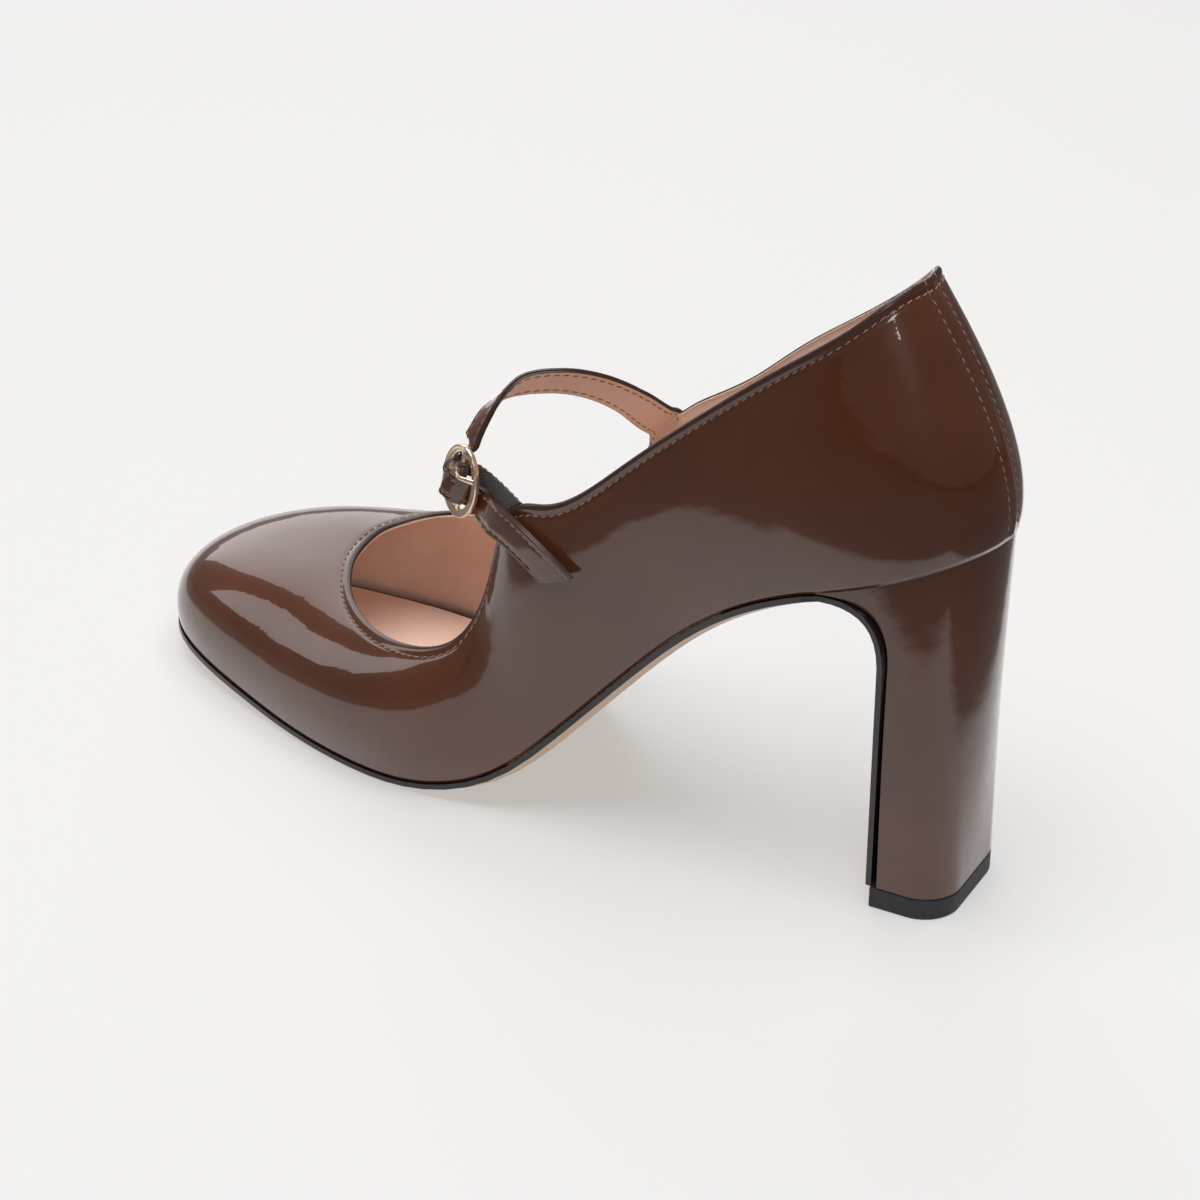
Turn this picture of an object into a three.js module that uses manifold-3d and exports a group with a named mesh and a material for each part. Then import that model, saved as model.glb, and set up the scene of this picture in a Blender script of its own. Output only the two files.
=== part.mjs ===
// Mary jane pump for the left foot, on a high covered block heel, standing on a floor at z = 0.
// +X points to the toe, +Y to the outer side of the foot, +Z up. Lengths are in millimetres.
// The upper is a shell between the feather edge, where it meets the sole, and the topline.
import * as THREE from 'three';
import Module from 'manifold-3d';
import { mergeVertices } from 'three/addons/utils/BufferGeometryUtils.js';

const wasm = await Module();
wasm.setup();

// Driving dimensions of the last
const lastLength = 228;
const ballWidth = 74;
const heelHeight = 94.5;
const backHeight = 58.5;

// Leather, boards and gaps
const upperWall = 1.6;
const fitGap = 0.3;
const sideGap = 0.45;
const insoleThickness = 2.0;
const sockThickness = 0.9;
const sockMargin = 2.6;

// Outsole
const soleThickness = 3.0;
const soleEdge = 1.4;
const soleBevel = 3.5;
const soleMargin = 0.3;
const flapThickness = 1.4;
const flapBevel = 0.6;
const breastRadius = 13;

// Heel and its rubber tip
const tipWidth = 35;
const tipDepth = 18.7;
const tipCorner = 9.3;
const tipSetback = 3.0;
const tipTwist = THREE.MathUtils.degToRad(3);
const topLiftHeight = 5.4;
const seatInset = 0.5;
const breastLean = 1.8;

// Strap and buckle
const strapWidth = 8;
const strapThickness = 1.3;
const strapArch = 20.3;
const tailSkew = 2.4;
const ringLength = 18.8;
const ringWidth = 12.6;
const ringBand = 2.1;
const ringThickness = 1.4;
const barRadius = 0.6;
const prongRadius = 0.55;
const keeperWidth = 3.4;
const keeperThickness = 0.5;
const keeperSlot = 2.0;
const keeperSag = 3.2;
const pinGap = 0.2;

// How finely the shells are cut into facets
const upperStations = 104;
const upperRows = 10;
const soleStations = 56;
const neckRows = 10;
const bandRows = 60;
const strapColumns = 4;

// A table becomes a list of rows, each an object with its columns by name
function table(columns, rows) {
  return rows.map((row) => Object.fromEntries(columns.map((name, i) => [name, row[i]])));
}

// The feather edge, seen from above, once around from the centre of the back by the outer side.
// around: share of the way round; along: of the last's length; across: of the ball's width;
// lift: of the heel's height.
const feather = table(
  ['around', 'along', 'across', 'lift'],
  [
    [0.0, 0.0, 0.0, 1],
    [0.029, 0.0286, 0.203, 0.977],
    [0.061, 0.0967, 0.304, 0.91],
    [0.099, 0.1845, 0.331, 0.832],
    [0.14, 0.2724, 0.327, 0.704],
    [0.189, 0.3592, 0.33, 0.497],
    [0.243, 0.447, 0.372, 0.254],
    [0.286, 0.526, 0.426, 0.087],
    [0.315, 0.5961, 0.457, 0.034],
    [0.347, 0.675, 0.449, 0.0265],
    [0.383, 0.7628, 0.395, 0.034],
    [0.42, 0.8521, 0.308, 0.05],
    [0.454, 0.937, 0.203, 0.072],
    [0.48, 0.986, 0.074, 0.09],
    [0.501, 1, -0.095, 0.095],
    [0.522, 0.983, -0.262, 0.09],
    [0.551, 0.925, -0.395, 0.072],
    [0.585, 0.8329, -0.486, 0.048],
    [0.624, 0.7372, -0.538, 0.03],
    [0.66, 0.6493, -0.516, 0.0265],
    [0.697, 0.5615, -0.43, 0.053],
    [0.741, 0.4737, -0.331, 0.196],
    [0.802, 0.377, -0.264, 0.476],
    [0.862, 0.2724, -0.261, 0.725],
    [0.902, 0.1845, -0.297, 0.838],
    [0.939, 0.0967, -0.301, 0.91],
    [0.971, 0.0286, -0.203, 0.977],
  ],
);

// The topline over the same way round; rise: height over the feather, as a share of the back's.
const topline = table(
  ['around', 'along', 'across', 'rise'],
  [
    [0.0, 0.103, 0.0, 0.97],
    [0.03, 0.112, 0.122, 1.0],
    [0.061, 0.1451, 0.223, 0.983],
    [0.099, 0.2062, 0.29, 0.921],
    [0.14, 0.2803, 0.338, 0.889],
    [0.189, 0.3641, 0.378, 0.923],
    [0.225, 0.4253, 0.397, 0.974],
    [0.243, 0.4559, 0.399, 1.056],
    [0.256, 0.4826, 0.382, 1.106],
    [0.266, 0.5023, 0.355, 1.077],
    [0.276, 0.5151, 0.338, 1.009],
    [0.288, 0.523, 0.335, 0.926],
    [0.3, 0.5329, 0.354, 0.809],
    [0.315, 0.5546, 0.382, 0.689],
    [0.332, 0.5901, 0.386, 0.614],
    [0.35, 0.6316, 0.355, 0.564],
    [0.383, 0.6928, 0.264, 0.52],
    [0.42, 0.7391, 0.142, 0.499],
    [0.454, 0.7628, 0.034, 0.479],
    [0.48, 0.7737, -0.047, 0.463],
    [0.501, 0.7776, -0.122, 0.467],
    [0.522, 0.7766, -0.196, 0.489],
    [0.551, 0.7658, -0.284, 0.527],
    [0.585, 0.7372, -0.365, 0.592],
    [0.624, 0.6819, -0.423, 0.657],
    [0.66, 0.6138, -0.443, 0.735],
    [0.697, 0.536, -0.422, 0.862],
    [0.715, 0.494, -0.398, 0.968],
    [0.729, 0.4665, -0.372, 1.045],
    [0.741, 0.4535, -0.36, 1.05],
    [0.757, 0.441, -0.354, 1.022],
    [0.77, 0.4275, -0.351, 0.968],
    [0.785, 0.4125, -0.351, 0.906],
    [0.802, 0.3819, -0.346, 0.863],
    [0.83, 0.3375, -0.335, 0.795],
    [0.862, 0.2852, -0.314, 0.786],
    [0.902, 0.2082, -0.268, 0.851],
    [0.939, 0.1451, -0.214, 0.957],
    [0.97, 0.112, -0.119, 0.99],
  ],
);

// How the wall leaves the feather and reaches the topline: outLow and upLow at the feather,
// outHigh and downHigh at the topline. out: share of the ball's width; up and down: of the back.
const wallShape = table(
  ['around', 'outLow', 'upLow', 'outHigh', 'downHigh'],
  [
    [0.0, 0.047, 0.27, 0.149, 0.256],
    [0.061, 0.061, 0.27, 0.054, 0.31],
    [0.14, 0.068, 0.256, 0.041, 0.29],
    [0.243, 0.074, 0.29, 0.047, 0.34],
    [0.3, 0.074, 0.256, 0.088, 0.27],
    [0.35, 0.068, 0.205, 0.149, 0.11],
    [0.42, 0.061, 0.29, 0.203, 0.026],
    [0.501, 0.061, 0.37, 0.324, 0.04],
    [0.585, 0.054, 0.31, 0.165, 0.068],
    [0.65, 0.054, 0.325, 0.081, 0.24],
    [0.715, 0.068, 0.34, 0.047, 0.325],
    [0.802, 0.108, 0.24, 0.034, 0.27],
    [0.862, 0.095, 0.24, 0.041, 0.256],
    [0.939, 0.061, 0.27, 0.054, 0.31],
  ],
);

// The strap's neck on the inner quarter's topline, and the outer quarter's front corner
const neckRear = 0.77;
const neckFront = 0.727;
const neckLean = 0.8;
const keeperCorner = 0.262;
const keeperSpread = 0.008;

// A smooth closed curve through rows whose knots lie between 0 and 1, by its second derivatives
function closedSpline(knots, values) {
  const n = knots.length;
  const step = knots.map((knot, i) => (i + 1 < n ? knots[i + 1] - knot : 1 + knots[0] - knot));
  const matrix = [];
  for (let i = 0; i < n; i++) {
    const before = (i + n - 1) % n;
    const after = (i + 1) % n;
    const row = new Array(n + 1).fill(0);
    row[before] += step[before];
    row[i] += 2 * (step[before] + step[i]);
    row[after] += step[i];
    const rising = (values[after] - values[i]) / step[i];
    const risen = (values[i] - values[before]) / step[before];
    row[n] = 6 * (rising - risen);
    matrix.push(row);
  }
  const bend = solve(matrix);
  return (around) => {
    const x = around - Math.floor(around);
    let i = n - 1;
    while (i > 0 && knots[i] > x) i--;
    const j = (i + 1) % n;
    const h = step[i];
    const b = (x - knots[i]) / h;
    const a = 1 - b;
    const curve = ((a ** 3 - a) * bend[i] + (b ** 3 - b) * bend[j]) * h * h / 6;
    return a * values[i] + b * values[j] + curve;
  };
}

// Gaussian elimination on rows that end with their right-hand side
function solve(matrix) {
  const n = matrix.length;
  for (let i = 0; i < n; i++) {
    for (let row = i + 1; row < n; row++) {
      const factor = matrix[row][i] / matrix[i][i];
      for (let k = i; k <= n; k++) matrix[row][k] -= factor * matrix[i][k];
    }
  }
  const result = new Array(n).fill(0);
  for (let i = n - 1; i >= 0; i--) {
    let rest = matrix[i][n];
    for (let k = i + 1; k < n; k++) rest -= matrix[i][k] * result[k];
    result[i] = rest / matrix[i][i];
  }
  return result;
}

// One spline for each column of a table, in millimetres
function columnSplines(rows, units) {
  const knots = rows.map((row) => row.around);
  return Object.fromEntries(Object.entries(units).map(([name, unit]) => [
    name,
    closedSpline(knots, rows.map((row) => row[name] * unit)),
  ]));
}

const featherCurve = columnSplines(feather, { along: lastLength, across: ballWidth, lift: heelHeight });
const toplineCurve = columnSplines(topline, { along: lastLength, across: ballWidth, rise: backHeight });
const wallCurve = columnSplines(wallShape, {
  outLow: ballWidth,
  upLow: backHeight,
  outHigh: ballWidth,
  downHigh: backHeight,
});

function featherPoint(around) {
  return new THREE.Vector3(
    featherCurve.along(around),
    featherCurve.across(around),
    featherCurve.lift(around),
  );
}

function toplinePoint(around) {
  const height = featherCurve.lift(around) + toplineCurve.rise(around);
  return new THREE.Vector3(toplineCurve.along(around), toplineCurve.across(around), height);
}

// Level direction away from the foot, square to the feather edge
function outward(around) {
  const nudge = 0.002;
  const ahead = featherPoint(around + nudge);
  const behind = featherPoint(around - nudge);
  return new THREE.Vector3(behind.y - ahead.y, ahead.x - behind.x, 0).normalize();
}

// A point on the outside of the upper; high runs from 0 at the feather to 1 at the topline
function upperOutside(around, high) {
  const foot = featherPoint(around);
  const top = toplinePoint(around);
  const out = outward(around);
  const low = foot.clone().addScaledVector(out, wallCurve.outLow(around));
  low.z += wallCurve.upLow(around);
  const near = top.clone().addScaledVector(out, wallCurve.outHigh(around));
  near.z -= wallCurve.downHigh(around);
  return new THREE.CubicBezierCurve3(foot, low, near, top).getPoint(high);
}

// The same point on the inside, one wall further in
function upperInside(around, high) {
  const nudge = 0.002;
  const level = Math.min(Math.max(high, nudge), 1 - nudge);
  const alongEdge = upperOutside(around + nudge, level).sub(upperOutside(around - nudge, level));
  const upWall = upperOutside(around, level + nudge).sub(upperOutside(around, level - nudge));
  const normal = alongEdge.cross(upWall).normalize();
  return upperOutside(around, high).addScaledVector(normal, upperWall);
}

// Closed mesh from rings of points: each ring joins the next, and the ends are capped,
// or the last ring joins the first one
function ringsToGeometry(rings, closed = false) {
  const size = rings[0].length;
  const positions = rings.flat().flatMap((point) => [point.x, point.y, point.z]);
  const index = [];
  const last = closed ? rings.length : rings.length - 1;
  for (let i = 0; i < last; i++) {
    const here = i * size;
    const there = ((i + 1) % rings.length) * size;
    for (let k = 0; k < size; k++) {
      const m = (k + 1) % size;
      index.push(here + k, here + m, there + m, here + k, there + m, there + k);
    }
  }
  if (!closed) {
    const cap = rings[0].map((_, k) => k);
    const end = (rings.length - 1) * size;
    for (const [a, b, c] of capTriangles(rings[0])) index.push(cap[c], cap[b], cap[a]);
    for (const [a, b, c] of capTriangles(rings[rings.length - 1])) index.push(end + a, end + b, end + c);
  }
  const geometry = new THREE.BufferGeometry();
  geometry.setAttribute('position', new THREE.Float32BufferAttribute(positions, 3));
  geometry.setIndex(index);
  return facingOut(geometry);
}

// Triangles across a ring whose two halves face each other, as a ladder
function capTriangles(ring) {
  const triangles = [];
  let low = 0;
  let high = ring.length - 1;
  while (high - low > 1) {
    triangles.push([low, low + 1, high]);
    low += 1;
    if (high - low > 1) {
      triangles.push([low, high - 1, high]);
      high -= 1;
    }
  }
  return triangles;
}

// Turns every triangle round if the volume reads as negative
function facingOut(geometry) {
  const index = geometry.index.array;
  const point = geometry.attributes.position;
  const corner = [new THREE.Vector3(), new THREE.Vector3(), new THREE.Vector3()];
  let volume = 0;
  for (let i = 0; i < index.length; i += 3) {
    corner.forEach((vector, k) => vector.fromBufferAttribute(point, index[i + k]));
    volume += corner[0].dot(corner[1].clone().cross(corner[2]));
  }
  if (volume < 0) {
    for (let i = 0; i < index.length; i += 3) [index[i], index[i + 1]] = [index[i + 1], index[i]];
  }
  return geometry;
}

function toManifold(source) {
  const bare = source.clone();
  bare.deleteAttribute('normal');
  bare.deleteAttribute('uv');
  const geometry = mergeVertices(bare, 1e-4);
  return new wasm.Manifold(new wasm.Mesh({
    numProp: 3,
    vertProperties: new Float32Array(geometry.attributes.position.array),
    triVerts: new Uint32Array(geometry.index.array),
  }));
}

function fromManifold(solid) {
  const mesh = solid.getMesh();
  const geometry = new THREE.BufferGeometry();
  geometry.setAttribute('position', new THREE.BufferAttribute(mesh.vertProperties, 3));
  geometry.setIndex(new THREE.BufferAttribute(mesh.triVerts, 1));
  return geometry;
}

function lerp(a, b, share) {
  return a + (b - a) * share;
}

// Upper: each ring runs up the outside and down the inside of the wall
function upperGeometry() {
  const rings = [];
  for (let i = 0; i < upperStations; i++) {
    const around = i / upperStations;
    const ring = [];
    for (let k = 0; k <= upperRows; k++) ring.push(upperOutside(around, k / upperRows));
    for (let k = upperRows; k >= 0; k--) ring.push(upperInside(around, k / upperRows));
    rings.push(ring);
  }
  return ringsToGeometry(rings, true);
}

// The foremost point of the feather edge
function findToe() {
  let low = 0.45;
  let high = 0.55;
  for (let i = 0; i < 40; i++) {
    const third = (high - low) / 3;
    if (featherCurve.along(low + third) < featherCurve.along(high - third)) low += third;
    else high -= third;
  }
  return (low + high) / 2;
}

const toeAround = findToe();

// Where the feather edge passes a length along the last, on the outer or inner side
function aroundAt(along, outer) {
  let low = outer ? 0 : 1;
  let high = toeAround;
  for (let i = 0; i < 40; i++) {
    const middle = (low + high) / 2;
    if (featherCurve.along(middle) < along) low = middle;
    else high = middle;
  }
  return (low + high) / 2;
}

// Edge of a plate that follows the feather, moved in (or out, when negative) by an inset
function plateEdge(around, inset) {
  return featherPoint(around).addScaledVector(outward(around), -inset);
}

// Stations along the last, closer together at both ends
function stations(count, from, to) {
  return Array.from({ length: count + 1 }, (_, i) => {
    const share = (1 - Math.cos(Math.PI * i / count)) / 2;
    return lerp(from, to, share);
  });
}

// The plates stop this far short of the very ends of the feather edge
const endMargin = 0.02;

// Height of the last's bottom, which runs straight from the outer to the inner feather edge
function bottomHeight(along, across) {
  const back = featherCurve.along(0) + endMargin / 2;
  const toe = featherCurve.along(toeAround) - endMargin / 2;
  const reach = THREE.MathUtils.clamp(along, back, toe);
  const outer = featherPoint(aroundAt(reach, true));
  const inner = featherPoint(aroundAt(reach, false));
  const share = (outer.y - across) / (outer.y - inner.y);
  return lerp(outer.z, inner.z, Math.min(Math.max(share, 0), 1));
}

// A board that lies on the last's bottom: its underside is lift above the feather edge
function boardGeometry(inset, lift, thickness) {
  const back = featherCurve.along(0) + endMargin;
  const toe = featherCurve.along(toeAround) - endMargin;
  const rings = stations(soleStations, back, toe).map((along) => {
    const outer = plateEdge(aroundAt(along, true), inset);
    const inner = plateEdge(aroundAt(along, false), inset);
    const raise = (point, height) => {
      return new THREE.Vector3(point.x, point.y, bottomHeight(point.x, point.y) + height);
    };
    return [
      raise(outer, lift),
      raise(outer, lift + thickness),
      raise(inner, lift + thickness),
      raise(inner, lift),
    ];
  });
  return ringsToGeometry(rings);
}

// Side view of the shank's upper face, and the turn that leads it down the front of the heel
function sideHeight(along) {
  const outer = featherCurve.lift(aroundAt(along, true));
  const inner = featherCurve.lift(aroundAt(along, false));
  return (outer + inner) / 2 - fitGap;
}

const breastFoot = tipSetback + tipDepth - flapThickness;
const breastTop = breastFoot - breastLean;
const turnStart = breastTop + breastRadius * 1.5;
const flapBottom = topLiftHeight + fitGap;

// The outsole's upper face in side view, as a curve from the start of the turn down the breast
function breastCurve() {
  const start = new THREE.Vector2(turnStart, sideHeight(turnStart));
  const slope = (sideHeight(turnStart + 1) - start.y);
  const reach = breastRadius * 0.9;
  const control = new THREE.Vector2(start.x - reach, start.y - slope * reach * 0.55);
  const knee = new THREE.Vector2(breastTop, start.y - breastRadius * 1.1);
  const knuckle = new THREE.Vector2(breastTop, start.y - breastRadius * 0.05);
  const bottom = new THREE.Vector2(breastFoot, flapBottom);
  return { turn: new THREE.CubicBezierCurve(start, control, knuckle, knee), bottom };
}

const breast = breastCurve();

// Side-view stations of the outsole from the toe to the foot of the flap, each with the
// direction square to its upper face and its thickness there
function solePath() {
  const path = [];
  const toe = featherCurve.along(toeAround) - endMargin;
  for (const along of stations(soleStations, toe, turnStart)) {
    const nudge = 0.5;
    const ahead = Math.min(along + nudge, toe);
    const slope = (sideHeight(ahead) - sideHeight(ahead - 2 * nudge)) / (2 * nudge);
    path.push({
      place: new THREE.Vector2(along, sideHeight(along)),
      square: new THREE.Vector2(-slope, 1).normalize(),
      along,
      turned: 0,
    });
  }
  const turnSteps = 10;
  for (let i = 1; i <= turnSteps; i++) {
    const place = breast.turn.getPoint(i / turnSteps);
    const heading = breast.turn.getTangent(i / turnSteps);
    const square = new THREE.Vector2(heading.y, -heading.x);
    path.push({ place, square, turned: i / turnSteps, down: 0 });
  }
  const knee = breast.turn.getPoint(1);
  const flapSteps = 6;
  for (let i = 1; i <= flapSteps; i++) {
    const place = knee.clone().lerp(breast.bottom, i / flapSteps);
    const heading = breast.bottom.clone().sub(knee).normalize();
    const square = new THREE.Vector2(heading.y, -heading.x);
    path.push({ place, square, turned: 1, down: i / flapSteps });
  }
  return path;
}

// Half widths of the heel's front face at a height, outer and inner side
function breastHalfWidths(height) {
  const seat = heelOutline(1);
  const foot = heelOutline(0);
  const top = sideHeight(turnStart);
  const share = Math.min(Math.max((height - flapBottom) / (top - flapBottom), 0), 1);
  const outer = lerp(foot[0].y, seat[0].y, share);
  const inner = lerp(foot[foot.length - 1].y, seat[seat.length - 1].y, share);
  return { outer, inner };
}

function outsoleGeometry() {
  const rings = solePath().map((station) => (station.turned > 0 ? flapRing(station) : soleRing(station)));
  return ringsToGeometry(rings);
}

// Cross-section of the outsole under the foot: a flat upper face, an upright edge, a bevel below
function soleRing({ square, along }) {
  const outerAround = aroundAt(along, true);
  const innerAround = aroundAt(along, false);
  const at = (around, inset, depth) => {
    const point = plateEdge(around, inset);
    const below = depth + fitGap;
    const height = bottomHeight(point.x, point.y) - square.y * below;
    return new THREE.Vector3(point.x - square.x * below, point.y, Math.max(height, 0));
  };
  return [
    at(outerAround, -soleMargin, 0),
    at(outerAround, -soleMargin, soleEdge),
    at(outerAround, soleBevel, soleThickness),
    at(innerAround, soleBevel, soleThickness),
    at(innerAround, -soleMargin, soleEdge),
    at(innerAround, -soleMargin, 0),
  ];
}

// Cross-section of the flap, which thins as it turns down the front of the heel
function flapRing({ place, square, turned, down }) {
  const { outer, inner } = breastHalfWidths(place.y);
  const thick = lerp(soleThickness, flapThickness, turned);
  const edge = Math.min(soleEdge, thick);
  const bevel = lerp(soleBevel, flapBevel, turned);
  const at = (y, depth) => {
    const height = place.y - square.y * depth;
    return new THREE.Vector3(place.x - square.x * depth, y, down > 0 ? Math.max(height, flapBottom) : height);
  };
  return [
    at(outer, 0),
    at(outer, edge),
    at(outer - bevel, thick),
    at(inner + bevel, thick),
    at(inner, edge),
    at(inner, 0),
  ];
}

// Outline of the heel, from the outer front corner round the back to the inner one.
// level 0 is the foot of the heel, level 1 its seat under the upper.
const heelPoints = 60;
function heelOutline(level) {
  return Array.from({ length: heelPoints + 1 }, (_, i) => {
    const share = i / heelPoints;
    const foot = tipPoint(share);
    const seat = seatPoint(share);
    return new THREE.Vector3().lerpVectors(foot, seat, level);
  });
}

// The tip's U: a straight side, a round corner, the back, a round corner, a straight side
function tipPoint(share) {
  const halfWidth = tipWidth / 2;
  const straight = tipDepth - tipCorner;
  const back = tipWidth - 2 * tipCorner;
  const arc = tipCorner * Math.PI / 2;
  const total = 2 * straight + 2 * arc + back;
  const mirrored = share > 0.5;
  let run = (mirrored ? 1 - share : share) * total;
  const point = new THREE.Vector3(tipDepth, halfWidth, flapBottom);
  if (run <= straight) {
    point.x -= run;
  } else if (run <= straight + arc) {
    const angle = (run - straight) / tipCorner;
    point.x = tipCorner * (1 - Math.sin(angle));
    point.y = halfWidth - tipCorner * (1 - Math.cos(angle));
  } else {
    run -= straight + arc;
    point.set(0, halfWidth - tipCorner - run, flapBottom);
  }
  if (mirrored) point.y = -point.y;
  point.x += tipSetback;
  return point.applyAxisAngle(new THREE.Vector3(0, 0, 1), tipTwist);
}

function seatPoint(share) {
  const outerFront = aroundAt(turnStart, true);
  const innerFront = aroundAt(turnStart, false) - 1;
  const around = lerp(outerFront, innerFront, share);
  const point = plateEdge(around, seatInset);
  point.z -= fitGap;
  return point;
}

function heelGeometry() {
  const levels = 6;
  const rings = [];
  for (let i = 0; i <= levels; i++) rings.push(heelOutline(i / levels));
  const body = toManifold(ringsToGeometry(rings));
  const cutter = toManifold(breastCutter(fitGap));
  return fromManifold(body.subtract(cutter));
}

// Everything in front of the flap's back face, as a slab across the shoe
function breastCutter(gap) {
  const profile = [];
  const steps = 16;
  for (let i = 0; i <= steps; i++) {
    const place = breast.turn.getPoint(i / steps);
    const heading = breast.turn.getTangent(i / steps);
    profile.push(new THREE.Vector2(place.x + heading.y * gap, place.y - heading.x * gap));
  }
  const foot = breast.bottom.clone();
  profile.push(new THREE.Vector2(foot.x - gap, foot.y - heelHeight));
  profile.push(new THREE.Vector2(foot.x + lastLength, foot.y - heelHeight));
  profile.push(new THREE.Vector2(profile[0].x + lastLength, profile[0].y));
  const shape = new THREE.Shape(profile);
  const slab = new THREE.ExtrudeGeometry(shape, { depth: 2 * ballWidth, bevelEnabled: false });
  slab.rotateX(Math.PI / 2);
  slab.translate(0, ballWidth, 0);
  return slab;
}

function topLiftGeometry() {
  const outline = Array.from({ length: heelPoints + 1 }, (_, i) => tipPoint(i / heelPoints));
  const shape = new THREE.Shape(outline.map((point) => new THREE.Vector2(point.x, point.y)));
  const lift = new THREE.ExtrudeGeometry(shape, { depth: topLiftHeight, bevelEnabled: false });
  lift.deleteAttribute('normal');
  lift.deleteAttribute('uv');
  return facingOut(mergeVertices(lift, 1e-4));
}

// The ring's place, from the outer quarter's front corner, and its axes: down along its length,
// ahead across it, off the foot
const ringCentre = toplinePoint(keeperCorner).add(new THREE.Vector3(0.212, -0.055, 0.027).multiplyScalar(ballWidth));
const ringDown = new THREE.Vector3(0.12, 0.04, -1).normalize();
const ringOff = new THREE.Vector3(0.36, 0.93, 0);
ringOff.addScaledVector(ringDown, -ringOff.dot(ringDown)).normalize();
const ringAhead = ringOff.clone().cross(ringDown).negate();

function ringPoint(down, ahead, off) {
  return ringCentre.clone()
    .addScaledVector(ringDown, down)
    .addScaledVector(ringAhead, ahead)
    .addScaledVector(ringOff, off);
}

// The strap over the instep. forth: share of the way from the neck to the ring; rise and ahead:
// of the arch's height; wide: of the strap's width. The line across the strap runs along the
// ring's length, turned by turnAhead across the ring and by turnOff out of it.
const strapOver = table(
  ['forth', 'rise', 'ahead', 'wide', 'turnAhead', 'turnOff'],
  [
    [0.13, 0.274, -0.162, 1.16, 0.55, 0.17],
    [0.271, 0.607, -0.19, 1.04, 0.55, 0.17],
    [0.413, 0.863, -0.115, 1, 0.55, 0.17],
    [0.555, 0.994, 0, 1, 0.55, 0.17],
    [0.696, 0.985, 0.125, 1, 0.58, 0.16],
    [0.818, 0.8, 0.137, 0.95, 0.78, 0.13],
    [0.909, 0.466, 0.12, 0.78, 0.72, 0.1],
  ],
);

// The strap behind the ring, forward through it, over its bar, back behind it, and its tail.
// down: share of the ring's length; ahead and off: of its width.
const strapThrough = table(
  ['down', 'ahead', 'off', 'wide', 'turnAhead', 'turnOff'],
  [
    [-0.394, 0.21, -0.25, 0.58, 0.9, -0.7],
    [-0.277, 0.222, -0.145, 0.4, 0.55, -1.1],
    [-0.16, 0.266, -0.04, 0.6, 0, -0.65],
    [-0.074, 0.25, 0.143, 0.76, 0, -0.2],
    [-0.011, 0.151, 0.305, 0.85, 0.05, 0],
    [0.021, 0.024, 0.294, 0.85, 0.1, 0],
    [0.053, -0.12, 0.235, 0.82, 0.15, 0],
    [0.09, -0.222, 0.09, 0.8, 0.25, 0],
    [0.122, -0.25, -0.04, 0.8, 0.25, 0],
    [0.165, -0.365, -0.125, 0.88, 0.3, 0],
    [0.207, -0.54, -0.125, 0.97, 0.3, 0],
    [0.197, -0.778, -0.056, 1, 0.33, 0],
    [0.176, -1.07, 0.02, 1, 0.35, 0],
    [0.172, -1.516, 0.05, 1, 0.35, 0],
    [0.221, -1.968, 0.035, 1, 0.35, 0],
    [0.314, -2.333, -0.05, 1, 0.35, 0],
    [0.461, -2.722, -0.21, 1, 0.35, 0],
  ],
);

const neckMiddle = (neckRear + neckFront) / 2;

// The strap's centre line on its outside, with its width and the turn of the line across it
function strapLine() {
  const neck = toplinePoint(neckMiddle);
  const over = strapOver.map(({ forth, rise, ahead }) => {
    const point = neck.clone().lerp(ringCentre, forth);
    return point.add(new THREE.Vector3(ahead * strapArch, 0, rise * strapArch));
  });
  const through = strapThrough.map(({ down, ahead, off }) => (
    ringPoint(down * ringLength, ahead * ringWidth, off * ringWidth)
  ));
  const rows = [...strapOver, ...strapThrough];
  return {
    curve: new THREE.CatmullRomCurve3([...over, ...through], false, 'centripetal'),
    rows,
  };
}

// Value of a column between the rows of a table, at a share of its whole length
function between(rows, column, share) {
  const place = share * (rows.length - 1);
  const i = Math.min(Math.floor(place), rows.length - 2);
  return lerp(rows[i][column], rows[i + 1][column], place - i);
}

// Direction in which the wall runs where it reaches the topline
function wallEnd(around) {
  const heading = outward(around).multiplyScalar(-wallCurve.outHigh(around));
  heading.z += wallCurve.downHigh(around);
  return heading.normalize();
}

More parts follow.
